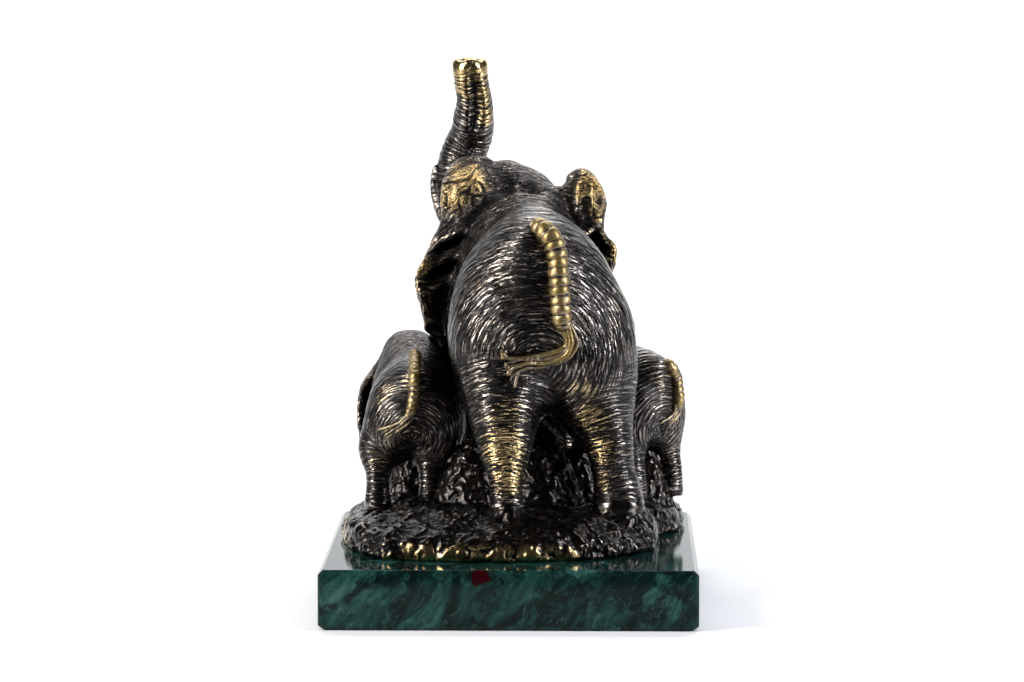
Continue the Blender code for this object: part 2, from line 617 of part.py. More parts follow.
# The slab, with flats all round.
half_w = SLAB_WIDTH / 2
half_d = SLAB_DEPTH / 2
slab_points = []
for height, inset in ((0, EDGE_CHAMFER), (EDGE_CHAMFER, 0),
                      (SLAB_THICKNESS - EDGE_CHAMFER, 0), (SLAB_THICKNESS, EDGE_CHAMFER)):
    w = half_w - inset
    d = half_d - inset
    c = CORNER_CHAMFER
    slab_points += [(w, -d + c, height), (w, d - c, height), (w - c, d, height),
                    (-w + c, d, height), (-w, d - c, height), (-w, -d + c, height),
                    (-w + c, -d, height), (w - c, -d, height)]
slab_faces = [tuple(range(7, -1, -1)), tuple(range(24, 32))]
for level in range(3):
    for k in range(8):
        a = level * 8 + k
        b = level * 8 + (k + 1) % 8
        slab_faces.append((a, b, b + 8, a + 8))
marble = material("green_marble", (0.035, 0.10, 0.085), 0.0, 0.12)
add_node("marble_plinth", slab_points, slab_faces, marble)
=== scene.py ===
"""The looks of a small bronze group, a mother elephant and her two calves, on green marble."""

import math

import bpy
import numpy as np
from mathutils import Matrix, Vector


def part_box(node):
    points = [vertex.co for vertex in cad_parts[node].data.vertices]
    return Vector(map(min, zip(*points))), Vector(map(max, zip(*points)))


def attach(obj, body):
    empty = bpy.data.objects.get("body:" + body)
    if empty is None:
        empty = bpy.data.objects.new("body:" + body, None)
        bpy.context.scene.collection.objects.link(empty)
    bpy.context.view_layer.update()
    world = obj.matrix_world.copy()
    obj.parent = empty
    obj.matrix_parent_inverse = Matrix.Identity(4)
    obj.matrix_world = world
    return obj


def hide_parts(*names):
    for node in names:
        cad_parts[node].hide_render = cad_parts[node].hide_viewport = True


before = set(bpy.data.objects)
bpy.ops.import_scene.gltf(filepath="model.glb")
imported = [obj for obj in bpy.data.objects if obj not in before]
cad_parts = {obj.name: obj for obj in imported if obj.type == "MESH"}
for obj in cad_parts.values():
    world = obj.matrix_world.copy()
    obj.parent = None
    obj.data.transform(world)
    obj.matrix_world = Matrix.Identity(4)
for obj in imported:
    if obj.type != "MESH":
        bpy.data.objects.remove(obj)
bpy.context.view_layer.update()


# Marble slab.
# One block of dark green brecciated marble, sawn, ground and polished on every side, with a
# narrow flat ground along each edge. The bronze stands on it.
slab_low, slab_high = (np.array(corner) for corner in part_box("marble_plinth"))
slab_middle = (slab_low + slab_high) / 2
slab_half = (slab_high - slab_low) / 2
slab_top = slab_high[2]
slab_edge_flat = 0.0016
slab_corner_flat = 0.001
slab_arris = 0.00025


def placed(name, data):
    """A new object in the scene, made of a mesh, a light or a camera."""
    item = bpy.data.objects.new(name, data)
    bpy.context.scene.collection.objects.link(item)
    return item


def built(name, points, faces):
    """A smooth-shaded piece from its points and faces."""
    mesh = bpy.data.meshes.new(name)
    mesh.from_pydata(points, [], faces)
    for face in mesh.polygons:
        face.use_smooth = True
    return placed(name, mesh)


def slab_block(name):
    """The block with its ground flats, each arris softened by two small steps."""
    points = []
    for height, inset in ((slab_low[2], slab_edge_flat), (slab_low[2] + slab_edge_flat, 0),
                          (slab_top - slab_edge_flat, 0), (slab_top, slab_edge_flat)):
        w, d = slab_half[0] - inset, slab_half[1] - inset
        c = slab_corner_flat
        ring = ((w, -d + c), (w, d - c), (w - c, d), (-w + c, d),
                (-w, d - c), (-w, -d + c), (-w + c, -d), (w - c, -d))
        points += [(slab_middle[0] + x, slab_middle[1] + y, height) for x, y in ring]
    faces = [tuple(range(7, -1, -1)), tuple(range(24, 32))]
    for level in range(3):
        for k in range(8):
            a, b = level * 8 + k, level * 8 + (k + 1) % 8
            faces.append((a, b, b + 8, a + 8))
    block = built(name, points, faces)
    soften = block.modifiers.new("arris", "BEVEL")
    soften.width = slab_arris
    soften.segments = 3
    soften.limit_method = "ANGLE"
    soften.angle_limit = math.radians(20)
    block.modifiers.new("flats", "WEIGHTED_NORMAL")
    return block


def feed(tree, value, socket):
    """Link a socket to another node's output, or set it to a plain value."""
    if isinstance(value, bpy.types.NodeSocket):
        tree.links.new(value, socket)
    else:
        socket.default_value = value


def add_node(tree, kind, **settings):
    """A node with its settings; a name that starts with in_ feeds an input."""
    node = tree.nodes.new(kind)
    for key, value in settings.items():
        if key.startswith("in_"):
            feed(tree, value, node.inputs[key[3:].replace("_", " ")])
        else:
            setattr(node, key, value)
    return node


def ramp(tree, source, stops):
    """A colour ramp from a value, with its stops as (place, colour)."""
    node = tree.nodes.new("ShaderNodeValToRGB")
    band = node.color_ramp
    while len(band.elements) < len(stops):
        band.elements.new(0.5)
    for element, (place, colour) in zip(band.elements, stops):
        element.position = place
        element.color = (*colour, 1) if len(colour) == 3 else (colour[0],) * 3 + (1,)
    tree.links.new(source, node.inputs[0])
    return node.outputs[0]


def maths(tree, operation, a, b=0.0, c=0.0, clamp=False):
    """A sum of two or three values."""
    node = add_node(tree, "ShaderNodeMath", operation=operation, use_clamp=clamp)
    for socket, value in zip(node.inputs, (a, b, c)):
        feed(tree, value, socket)
    return node.outputs[0]


def blended(tree, share, a, b):
    """Colours a and b mixed by a share."""
    node = add_node(tree, "ShaderNodeMix", data_type="RGBA", in_Factor=share)
    for socket, value in ((node.inputs[6], a), (node.inputs[7], b)):
        feed(tree, (*value, 1) if isinstance(value, tuple) else value, socket)
    return node.outputs[2]


def noise(tree, vector, scale, detail=3.0, rough=0.55, warp=0.0):
    """Soft random values, with the scale in swings per metre."""
    node = add_node(tree, "ShaderNodeTexNoise", in_Vector=vector, in_Scale=scale,
                    in_Detail=detail, in_Roughness=rough, in_Distortion=warp)
    return node.outputs["Fac"]


def drawn(tree, vector, scale, turn=(0, 0, 0)):
    """The vector turned, then drawn out or pressed together along its axes."""
    node = add_node(tree, "ShaderNodeMapping", in_Vector=vector, in_Rotation=turn,
                    in_Scale=scale)
    return node.outputs[0]


def swayed(tree, vector, source, scale, detail, amount):
    """The vector moved about by soft noise that is read at the source."""
    sway = add_node(tree, "ShaderNodeTexNoise", in_Vector=source, in_Scale=scale,
                    in_Detail=detail)
    moved = add_node(tree, "ShaderNodeVectorMath", operation="MULTIPLY_ADD")
    for socket, value in zip(moved.inputs, (sway.outputs["Color"], amount, vector)):
        feed(tree, value, socket)
    return moved.outputs[0]


def new_material(name):
    """A material, its tree, its main shader and the place of the point that is shaded."""
    item = bpy.data.materials.new(name)
    item.use_nodes = True
    tree = item.node_tree
    shader = tree.nodes["Principled BSDF"]
    place = tree.nodes.new("ShaderNodeNewGeometry").outputs["Position"]
    return item, tree, shader, place


def marble_finish():
    """Dark green ground with paler streaked fragments, near-black veins and one dark red spot."""
    item, tree, shader, place = new_material("green_marble_polished")
    tilted = drawn(tree, place, (1, 1, 1), streak_turn)
    bent = swayed(tree, tilted, tilted, 60.0, 5.0, (0.011, 0.011, 0.011))
    long = drawn(tree, bent, (1.0, 1.0, 0.5))
    pieces = add_node(tree, "ShaderNodeTexVoronoi", in_Vector=long, in_Scale=100.0)
    split = add_node(tree, "ShaderNodeSeparateColor", in_Color=pieces.outputs["Color"])
    combed = drawn(tree, bent, (1.0, 1.0, 0.13))
    streaks = noise(tree, combed, 520.0, 5.0, 0.6)
    clouds = noise(tree, place, 42.0, 4.0, 0.55)
    tone = maths(tree, "MULTIPLY", streaks, 0.95)
    tone = maths(tree, "MULTIPLY_ADD", split.outputs[0], 0.36, tone)
    tone = maths(tree, "ADD", tone, maths(tree, "MULTIPLY_ADD", clouds, 0.6, -0.44))
    green = ramp(tree, tone, [(0.30, (0.0025, 0.010, 0.009)), (0.46, (0.005, 0.024, 0.020)),
                              (0.60, (0.010, 0.042, 0.036)), (0.74, (0.022, 0.070, 0.060)),
                              (0.92, (0.055, 0.125, 0.105))])
    seams = add_node(tree, "ShaderNodeTexVoronoi", feature="DISTANCE_TO_EDGE", in_Vector=long,
                     in_Scale=58.0)
    crack = ramp(tree, seams.outputs["Distance"], [(0.0, (1.0,)), (0.05, (0.85,)), (0.10, (0.0,))])
    torn = noise(tree, place, 150.0, 5.0, 0.6)
    crack = maths(tree, "MULTIPLY", crack, ramp(tree, torn, [(0.40, (0.0,)), (0.52, (1.0,))]))
    colour = blended(tree, crack, green, (0.0015, 0.006, 0.0055))
    threads = noise(tree, combed, 300.0, 2.0, 0.5, 0.3)
    thread = ramp(tree, maths(tree, "ABSOLUTE", maths(tree, "SUBTRACT", threads, 0.52)),
                  [(0.0, (0.35,)), (0.012, (0.0,))])
    colour = blended(tree, thread, colour, (0.05, 0.12, 0.10))
    spot = add_node(tree, "ShaderNodeVectorMath", operation="DISTANCE")
    tree.links.new(place, spot.inputs[0])
    spot.inputs[1].default_value = tuple(red_spot)
    ragged = noise(tree, place, 420.0, 5.0)
    ragged = maths(tree, "MULTIPLY_ADD", ragged, 0.007, spot.outputs["Value"])
    red = ramp(tree, maths(tree, "MULTIPLY", ragged, 100.0), [(0.60, (1.0,)), (0.66, (0.0,))])
    colour = blended(tree, red, colour, (0.020, 0.0012, 0.0025))
    tree.links.new(colour, shader.inputs["Base Color"])
    wiped = noise(tree, place, 900.0, 3.0)
    tree.links.new(ramp(tree, wiped, [(0.3, (0.04,)), (0.8, (0.10,))]), shader.inputs["Roughness"])
    shader.inputs["IOR"].default_value = 1.2
    bump = add_node(tree, "ShaderNodeBump", in_Strength=0.25, in_Distance=0.00004,
                    in_Height=noise(tree, place, 1500.0, 3.0))
    tree.links.new(bump.outputs[0], shader.inputs["Normal"])
    return item


streak_turn = (0.25, math.radians(-34), 0.4)
red_spot = slab_middle + np.array([-0.0093, -slab_half[1], slab_half[2] - 0.0016])
slab = slab_block("marble_slab")
slab.data.materials.append(marble_finish())
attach(slab, "root")
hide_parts("marble_plinth")


# Rough ground.
# The cast ground under the animals: a pad of wax laid on in short leaf-like dabs, with a rough
# lip on the marble and mounds that carry the feet. It is the same casting as the animals.
rest_gap = 0.0003
ground_base = slab_top + rest_gap
ground_height = 0.0142
ground_top = ground_base + ground_height
ground_half = np.array([0.0585, 0.059])
ground_shift = 0.007
hundredth = 0.001


def in_group(point):
    """A place in the group, from hundredths of the mother's length above the ground's top."""
    return np.array([0, 0, ground_top]) + np.asarray(point, dtype=float) * hundredth


def curve(points, steps):
    """A smooth line through the points; a fourth number is the radius there."""
    points = np.asarray(points, dtype=float)
    line = []
    for index in range(len(points) - 1):
        before = points[max(index - 1, 0)]
        start, end = points[index], points[index + 1]
        after = points[min(index + 2, len(points) - 1)]
        for t in np.arange(steps) / steps:
            line.append(0.5 * (2 * start + (end - before) * t
                               + (2 * before - 5 * start + 4 * end - after) * t ** 2
                               + (3 * start - before - 3 * end + after) * t ** 3))
    line.append(points[-1])
    return np.array(line)


def refined(sheet, spacing):
    """The same sheet of points with its rows no further apart than the spacing."""
    longest = np.linalg.norm(np.diff(sheet, axis=0), axis=2).sum(axis=0).max()
    rows = max(int(math.ceil(longest / spacing)) + 1, 2)
    place = np.linspace(0, len(sheet) - 1, rows)
    k = np.minimum(place.astype(int), len(sheet) - 2)
    t = (place - k)[:, None, None]
    return sheet[k] + (sheet[k + 1] - sheet[k]) * t


def rounding(a, b, soft):
    """How far the join of two distances is rounded over the soft width."""
    near = np.maximum(soft - np.abs(a - b), 0) / soft
    return near ** 2 * soft / 4


class Wax:
    """Soft wax on a grid of distances to its skin; shapes are pressed on with rounded joins."""

    def __init__(self, low, high, step):
        self.low = np.asarray(low, dtype=float)
        self.step = step
        self.size = np.ceil((np.asarray(high) - self.low) / step).astype(int) + 1
        self.value = np.full(self.size, 0.05, dtype=np.float32)

    def window(self, low, high, margin):
        """The part of the grid between two corners, and its X, Y and Z."""
        first = np.floor((np.asarray(low) - margin - self.low) / self.step).astype(int)
        last = np.ceil((np.asarray(high) + margin - self.low) / self.step).astype(int) + 1
        first, last = np.clip(first, 0, self.size), np.clip(last, 0, self.size)
        axes = [(self.low[k] + self.step * np.arange(first[k], last[k])).astype(np.float32)
                for k in range(3)]
        cut = tuple(slice(first[k], last[k]) for k in range(3))
        return cut, axes[0][:, None, None], axes[1][None, :, None], axes[2][None, None, :]

    def press(self, cut, distance, soft, hollow=False):
        """Add a shape to the wax, or take it away."""
        old = self.value[cut]
        if hollow:
            self.value[cut] = np.maximum(old, -distance) + rounding(old, -distance, soft)
        else:
            self.value[cut] = np.minimum(old, distance) - rounding(old, distance, soft)

    def egg(self, centre, radii, soft, turn=0.0, hollow=False):
        """An egg-shaped mass, turned about Z in degrees."""
        reach = max(radii)
        cut, x, y, z = self.window(np.asarray(centre) - reach, np.asarray(centre) + reach,
                                   1.5 * soft + 2 * self.step)
        x, y, z = x - centre[0], y - centre[1], z - centre[2]
        c, s = math.cos(math.radians(turn)), math.sin(math.radians(turn))
        u, v = c * x + s * y, -s * x + c * y
        level = np.sqrt((u / radii[0]) ** 2 + (v / radii[1]) ** 2 + (z / radii[2]) ** 2)
        slope = np.sqrt((u / radii[0] ** 2) ** 2 + (v / radii[1] ** 2) ** 2
                        + (z / radii[2] ** 2) ** 2) + 1e-9
        self.press(cut, level * (level - 1) / slope, soft, hollow)

    def limb(self, points, soft, hollow=False):
        """A round limb along a smooth line of points with radii."""
        line = curve(points, 5)
        reach = line[:, 3].max()
        margin = 1.5 * soft + 2 * self.step
        cut, x, y, z = self.window(line[:, :3].min(axis=0) - reach,
                                   line[:, :3].max(axis=0) + reach, margin)
        distance = np.full((x.size, y.size, z.size), margin, dtype=np.float32)
        axes = (x.ravel(), y.ravel(), z.ravel())
        for start, end in zip(line[:-1], line[1:]):
            wide = max(start[3], end[3]) + margin
            part = tuple(slice(*np.searchsorted(axes[k], (min(start[k], end[k]) - wide,
                                                          max(start[k], end[k]) + wide)))
                         for k in range(3))
            along = end[:3] - start[:3]
            length = max(float(along @ along), 1e-12)
            px = x[part[0]] - start[0]
            py = y[:, part[1]] - start[1]
            pz = z[:, :, part[2]] - start[2]
            t = np.clip((px * along[0] + py * along[1] + pz * along[2]) / length, 0, 1)
            gap = np.sqrt((px - t * along[0]) ** 2 + (py - t * along[1]) ** 2
                          + (pz - t * along[2]) ** 2) - (start[3] + t * (end[3] - start[3]))
            distance[part] = np.minimum(distance[part], gap)
        self.press(cut, distance, soft, hollow)

    def leaf(self, sheet, half, soft):
        """A thin sheet given as a grid of points, made half as thick to each side."""
        dots = refined(refined(sheet, half * 0.6).swapaxes(0, 1), half * 0.6).reshape(-1, 3)
        margin = 1.5 * soft + 2 * self.step
        cut, x, y, z = self.window(dots.min(axis=0) - half, dots.max(axis=0) + half, margin)
        reach = int(math.ceil((half + margin) / self.step))
        distance = np.full((x.size, y.size, z.size), half + margin, dtype=np.float32)
        first = np.array([x.flat[0], y.flat[0], z.flat[0]])
        nearest = np.round((dots - first) / self.step).astype(int)
        span = np.arange(-reach, reach + 1)
        for i in span:
            for j in span:
                cell = nearest[:, None, :] + np.stack(
                    np.broadcast_arrays(i, j, span), axis=1)[None, :, :]
                away = np.linalg.norm(first + cell * self.step - dots[:, None, :], axis=2)
                ok = np.all((cell >= 0) & (cell < distance.shape), axis=2)
                np.minimum.at(distance, tuple(cell[ok].T), away[ok].astype(np.float32))
        self.press(cut, distance - half, soft)

    def back_skin(self, x, z):
        """The Y of the first skin met along +Y at this X and Z."""
        i = int(round((x - self.low[0]) / self.step))
        k = int(round((z - self.low[2]) / self.step))
        column = self.value[i, :, k]
        inside = np.nonzero(column < 0)[0]
        if not len(inside):
            return self.low[1] + self.step * self.size[1] / 2
        first = inside[0]
        a, b = column[first - 1], column[first]
        return self.low[1] + self.step * (first - 1 + a / (a - b))

    def skin(self):
        """The skin as points and four-sided faces, one point in each cell it passes."""
        v = self.value
        inside = v < 0
        total = np.zeros([n - 1 for n in v.shape] + [3], dtype=np.float32)
        hits = np.zeros([n - 1 for n in v.shape], dtype=np.float32)
        for axis in range(3):
            first, second = [slice(None)] * 3, [slice(None)] * 3
            first[axis], second[axis] = slice(0, -1), slice(1, None)
            a, b = v[tuple(first)], v[tuple(second)]
            crossing = (a < 0) != (b < 0)
            t = np.where(crossing, a / np.where(crossing, a - b, 1), 0).astype(np.float32)
            others = [k for k in range(3) if k != axis]
            for shift_a in (0, 1):
                for shift_b in (0, 1):
                    view = [slice(None)] * 3
                    for other, shift in zip(others, (shift_a, shift_b)):
                        view[other] = slice(shift, v.shape[other] - 1 + shift)
                    cross = crossing[tuple(view)]
                    hits += cross
                    total[..., axis] += np.where(cross, t[tuple(view)], 0)
                    total[..., others[0]] += cross * shift_a
                    total[..., others[1]] += cross * shift_b
        cells = np.argwhere(hits > 0)
        number = np.full(hits.shape, -1, dtype=np.int64)
        number[tuple(cells.T)] = np.arange(len(cells))
        local = total[tuple(cells.T)] / hits[tuple(cells.T)][:, None]
        points = self.low + (cells + local) * self.step
        faces = []
        for axis in range(3):
            first, second = [slice(1, -1)] * 3, [slice(1, -1)] * 3
            first[axis], second[axis] = slice(0, -1), slice(1, None)
            a, b = inside[tuple(first)], inside[tuple(second)]
            edges = np.argwhere(a != b)
            outward = a[tuple(edges.T)]
            base = edges + 1
            base[:, axis] -= 1
            ring = []
            for shift_p, shift_q in ((-1, -1), (0, -1), (0, 0), (-1, 0)):
                corner = base.copy()
                corner[:, (axis + 1) % 3] += shift_p
                corner[:, (axis + 2) % 3] += shift_q
                ring.append(number[tuple(corner.T)])
            ring = np.stack(ring, axis=1)
            ring[~outward] = ring[~outward][:, ::-1]
            faces.append(ring)
        return points, np.concatenate(faces)


def mesh_from(name, points, faces):
    """A piece from arrays of points and of faces that all have as many corners."""
    mesh = bpy.data.meshes.new(name)
    mesh.vertices.add(len(points))
    mesh.vertices.foreach_set("co", np.asarray(points, dtype=np.float32).ravel())
    mesh.loops.add(faces.size)
    mesh.loops.foreach_set("vertex_index", faces.ravel().astype(np.int32))
    mesh.polygons.add(len(faces))
    mesh.polygons.foreach_set("loop_start", np.arange(len(faces), dtype=np.int32) * faces.shape[1])
    mesh.update(calc_edges=True)
    mesh.validate()
    return placed(name, mesh)


def settle(piece):
    """Apply the piece's modifiers to its mesh."""
    shown = piece.evaluated_get(bpy.context.evaluated_depsgraph_get())
    mesh = bpy.data.meshes.new_from_object(shown)
    piece.modifiers.clear()
    old = piece.data
    piece.data = mesh
    bpy.data.meshes.remove(old)


def divided(name, points, faces):
    """The skin with each face divided in four and smoothed."""
    piece = mesh_from(name, points, faces)
    finer = piece.modifiers.new("finer", "SUBSURF")
    finer.levels = finer.render_levels = 1
    settle(piece)
    return piece


def vertex_values(mesh, what):
    """The place or the normal of each point."""
    values = np.zeros(len(mesh.vertices) * 3, dtype=np.float32)
    if what == "normal":
        mesh.vertex_normals.foreach_get("vector", values)
    else:
        mesh.vertices.foreach_get("co", values)
    return values.reshape(-1, 3).astype(float)


def edge_ends(mesh):
    """The two points of each edge."""
    ends = np.zeros(len(mesh.edges) * 2, dtype=np.int32)
    mesh.edges.foreach_get("vertices", ends)
    return ends.reshape(-1, 2)


def relaxed(points, ends, rounds):
    """Points moved towards the mean of their neighbours, several times."""
    count = np.bincount(ends.ravel(), minlength=len(points))[:, None]
    for _ in range(rounds):
        total = np.zeros_like(points)
        for axis in range(points.shape[1]):
            total[:, axis] = (np.bincount(ends[:, 0], points[ends[:, 1], axis], len(points))
                              + np.bincount(ends[:, 1], points[ends[:, 0], axis], len(points)))
        points = 0.5 * points + 0.5 * total / np.maximum(count, 1)
    return points


def swell(points, size, seed):
    """Smooth random values from -1 to 1, one swing for each size of length."""
    lattice = np.random.default_rng(seed).uniform(-1, 1, (32, 32, 32))
    place = points / size
    cell = np.floor(place).astype(int)
    t = place - cell
    t = t * t * (3 - 2 * t)
    value = 0
    for i in (0, 1):
        for j in (0, 1):
            for k in (0, 1):
                share = (np.where(i, t[:, 0], 1 - t[:, 0]) * np.where(j, t[:, 1], 1 - t[:, 1])
                         * np.where(k, t[:, 2], 1 - t[:, 2]))
                value = value + share * lattice[(cell[:, 0] + i) % 32, (cell[:, 1] + j) % 32,
                                                (cell[:, 2] + k) % 32]
    return value


def dabs(points, size, longer, seed):
    """Heights of overlapping leaf-shaped dabs, each a sharp-edged chip lying its own way."""
    fall = 1.5
    random = np.random.default_rng(seed)
    middle = random.uniform(0, 1, (16, 16, 16, 3))
    lie = random.normal(size=(16, 16, 16, 3))
    lie /= np.linalg.norm(lie, axis=3, keepdims=True)
    rise = random.uniform(0.2, 1, (16, 16, 16))
    place = points / size
    cell = np.floor(place).astype(int)
    best = np.full(len(points), -9.0)
    for i in (-1, 0, 1):
        for j in (-1, 0, 1):
            for k in (-1, 0, 1):
                home = cell + (i, j, k)
                key = tuple((home % 16).T)
                off = place - home - middle[key]
                along = (off * lie[key]).sum(axis=1)
                wide = (off ** 2).sum(axis=1) - along ** 2 * (1 - 1 / longer ** 2)
                best = np.maximum(best, rise[key] - fall * np.sqrt(np.maximum(wide, 0)))
    return best


def keep_value(mesh, name, values):
    """Store a number or a vector at each point for the materials to read."""
    values = np.asarray(values, dtype=np.float32)
    kind, field = ("FLOAT", "value") if values.ndim == 1 else ("FLOAT_VECTOR", "vector")
    layer = mesh.attributes.new(name, kind, "POINT")
    layer.data.foreach_set(field, values.ravel())


def rubbed(points, places):
    """How much hands have rubbed each point: 1 at the middle of a place, 0 beyond its radius."""
    value = np.zeros(len(points))
    for x, y, z, radius, share in places:
        away = np.linalg.norm(points - in_group((x, y, z)), axis=1) / (radius * hundredth)
        value = np.maximum(value, share * np.clip(1.5 * (1 - away), 0, 1))
    return value


def chased(piece, move, values, most_faces, places, coarse=1.0):
    """Press relief into a piece, note its ridges and hollows, and thin it to its face count."""
    ridge_height, swell_height = 0.0001 * coarse, 0.0005 * coarse
    mesh = piece.data
    points = vertex_values(mesh, "co") + move
    ends = edge_ends(mesh)
    smooth = relaxed(points, ends, 6)
    mesh.vertices.foreach_set("co", points.astype(np.float32).ravel())
    mesh.update()
    normal = vertex_values(mesh, "normal")
    keep_value(mesh, "ridge", ((points - smooth) * normal).sum(axis=1) / ridge_height)
    broad = relaxed(smooth, ends, 30)
    keep_value(mesh, "proud", ((smooth - broad) * normal).sum(axis=1) / swell_height)
    keep_value(mesh, "rub", rubbed(points, places))
    for name, value in values.items():
        keep_value(mesh, name, value)
    triangles = 2 * len(mesh.polygons)
    if triangles > most_faces:
        thin = piece.modifiers.new("thin", "DECIMATE")
        thin.ratio = most_faces / triangles
        settle(piece)
    for face in piece.data.polygons:
        face.use_smooth = True


def ground_plan():
    """The outline of the pad, given as shares of its half width and half depth."""
    shares = [(-0.73, -0.93), (-0.34, -1.0), (0.12, -1.0), (0.52, -0.87), (0.8, -0.58),
              (0.84, -0.3), (0.86, 0.0), (0.93, 0.12), (0.99, 0.3), (1.0, 0.62), (0.86, 0.82),
              (0.5, 0.95), (0.16, 1.0), (-0.2, 0.96), (-0.52, 0.88), (-0.8, 0.74), (-0.95, 0.45),
              (-1.0, 0.08), (-0.97, -0.25), (-0.92, -0.6)]
    places = [(x * ground_half[0], y * ground_half[1] + ground_shift) for x, y in shares]
    return curve(places + places[:1], 4)[:-1]


def ground_wax(wax, mounds):
    """The pad and its mounds, with a wavy top."""
    x = wax.low[0] + wax.step * np.arange(wax.size[0])[:, None]
    y = wax.low[1] + wax.step * np.arange(wax.size[1])[None, :]
    line = ground_plan()
    gap = np.full((wax.size[0], wax.size[1]), 1.0)
    crossings = np.zeros(gap.shape, dtype=int)
    for (ax, ay), (bx, by) in zip(line, np.roll(line, -1, axis=0)):
        dx, dy = bx - ax, by - ay
        t = np.clip(((x - ax) * dx + (y - ay) * dy) / (dx * dx + dy * dy), 0, 1)
        gap = np.minimum(gap, np.hypot(x - ax - t * dx, y - ay - t * dy))
        if ay != by:
            spans = (ay > y) != (by > y)
            crossings += (spans & (x < ax + (y - ay) * dx / dy)).astype(int)
    inward = np.where(crossings % 2 == 1, gap, -gap)
    lip, slope_width, unevenness = 0.0055, 0.020, 0.0007
    rise = np.clip(inward / slope_width, 0, 1)
    p, q = x / (2 * ground_half[0]), y / (2 * ground_half[0])
    rough = (np.sin(36 * p + 1.3) * np.sin(32 * q + 0.4) + 0.7 * np.sin(61 * p + 46 * q + 2.0)
             + 0.6 * np.sin(75 * p - 53 * q + 1.0))
    height = (ground_base + lip + (ground_top - ground_base - lip) * rise ** 0.8
              + unevenness * rough)
    for place, radius, tall in mounds:
        mx, my, top = in_group((*place, tall))
        away = np.hypot(x - mx, y - my) / (radius * hundredth)
        height = np.maximum(height, top - (top - ground_base) * np.clip(away, 0, 2) ** 2)
    z = wax.low[2] + wax.step * np.arange(wax.size[2])[None, None, :]
    above = (z - height[:, :, None]) * 0.75
    wall = -inward[:, :, None] + 0.0004 * rough[:, :, None] + np.zeros_like(above)
    soft = 0.003
    pad = (np.maximum(above, wall) + rounding(above, wall, soft)).astype(np.float32)
    wax.press((slice(None),) * 3, pad, soft)
    wax.value[:] = np.maximum(wax.value, (ground_base - z).astype(np.float32))


ground_mounds = [((-1, -32), 12, 5), ((37, -16), 17, 3.5), ((10, -4), 17, 25), ((7, 18), 22, 27),
                 ((-14, -3), 18, 21), ((-34, 22), 13, 19), ((23, 8), 11, 20), ((47, 31), 10, 14)]
ground_grid = 0.0011
wax = Wax((slab_low[0], slab_low[1], ground_base - 0.004),
          (slab_high[0], slab_high[1], ground_base + 0.044), ground_grid)
ground_wax(wax, ground_mounds)
ground = divided("ground", *wax.skin())
co = vertex_values(ground.data, "co")
nor = vertex_values(ground.data, "normal")
upper = np.clip((co[:, 2] - ground_base) / 0.0015, 0, 1)
bent = co + 0.0010 * np.stack([swell(co, 0.003, seed) for seed in (3, 4, 5)], axis=1)
depth = 0.0013 * (np.minimum(dabs(bent, 0.0040, 6.0, 5), 0.45) - 0.3)
depth += 0.0007 * np.minimum(dabs(bent, 0.0024, 5.0, 6), 0.5) + 0.0006 * swell(co, 0.007, 8)
move = nor * (depth * upper)[:, None]
low_points = co[:, 2] < ground_base + 0.0005
move[low_points] = 0
move[low_points, 2] = ground_base - co[low_points, 2]
ground_rubbed = [(x, -52, -12, 8, 1.1) for x in range(-50, 40, 8)]
ground_rubbed += [(-58, y, -11, 8, 1.0) for y in range(-30, 20, 8)]
ground_triangles = 190000
chased(ground, move, {}, ground_triangles, ground_rubbed, coarse=2.4)


def new_group(name, inputs, outputs):
    """A node group with its sockets, given as name and kind, and its two ends."""
    tree = bpy.data.node_groups.new(name, "ShaderNodeTree")
    for side, sockets in (("INPUT", inputs), ("OUTPUT", outputs)):
        for socket, kind in sockets.items():
            tree.interface.new_socket(socket, in_out=side, socket_type="NodeSocket" + kind)
    return tree, tree.nodes.new("NodeGroupInput").outputs, tree.nodes.new("NodeGroupOutput").inputs


def patina_group():
    """Bronze colour and roughness from the ridges, hollows and rubbed places of the wax."""
    tree, into, out = new_group(
        "worn_patina",
        {"Ridge": "Float", "Proud": "Float", "Rub": "Float", "Gold": "Float", "Place": "Vector",
         "Bare": "Color"},
        {"Colour": "Color", "Roughness": "Float"})
    patches = noise(tree, into["Place"], 130.0, 4.0, 0.6)
    grains = noise(tree, into["Place"], 1500.0, 3.0, 0.65)
    uneven = maths(tree, "MULTIPLY_ADD", grains, 0.9, -0.45)
    uneven = maths(tree, "ADD", uneven, maths(tree, "MULTIPLY_ADD", patches, 1.2, -0.6))
    height = maths(tree, "ADD", into["Ridge"], maths(tree, "MULTIPLY", into["Proud"], 0.5))
    height = maths(tree, "ADD", height, uneven)
    brown = ramp(tree, patches, [(0.3, (0.010, 0.008, 0.007)), (0.55, (0.028, 0.021, 0.017)),
                                 (0.75, (0.060, 0.040, 0.027))])
    level = maths(tree, "MULTIPLY_ADD", height, 0.25, 0.5)
    worn = ramp(tree, level, [(0.54, (0.0,)), (0.95, (1.0,))])
    colour = blended(tree, worn, brown, (0.47, 0.43, 0.39))
    lifted = maths(tree, "MULTIPLY_ADD", into["Rub"], 2.4, height)
    lifted = maths(tree, "ADD", lifted, into["Gold"])
    gold = ramp(tree, maths(tree, "MULTIPLY", lifted, 0.2), [(0.22, (0.0,)), (0.5, (1.0,))])
    colour = blended(tree, gold, colour, into["Bare"])
    hollow = ramp(tree, level, [(0.20, (1.0,)), (0.46, (0.0,))])
    colour = blended(tree, maths(tree, "MULTIPLY", hollow, 0.96), colour, (0.004, 0.005, 0.006))
    tree.links.new(colour, out["Colour"])
    rough = maths(tree, "MULTIPLY_ADD", grains, 0.2, 0.10)
    rough = maths(tree, "MULTIPLY_ADD", hollow, 0.35, rough)
    tree.links.new(rough, out["Roughness"])
    return tree


worn_patina = patina_group()


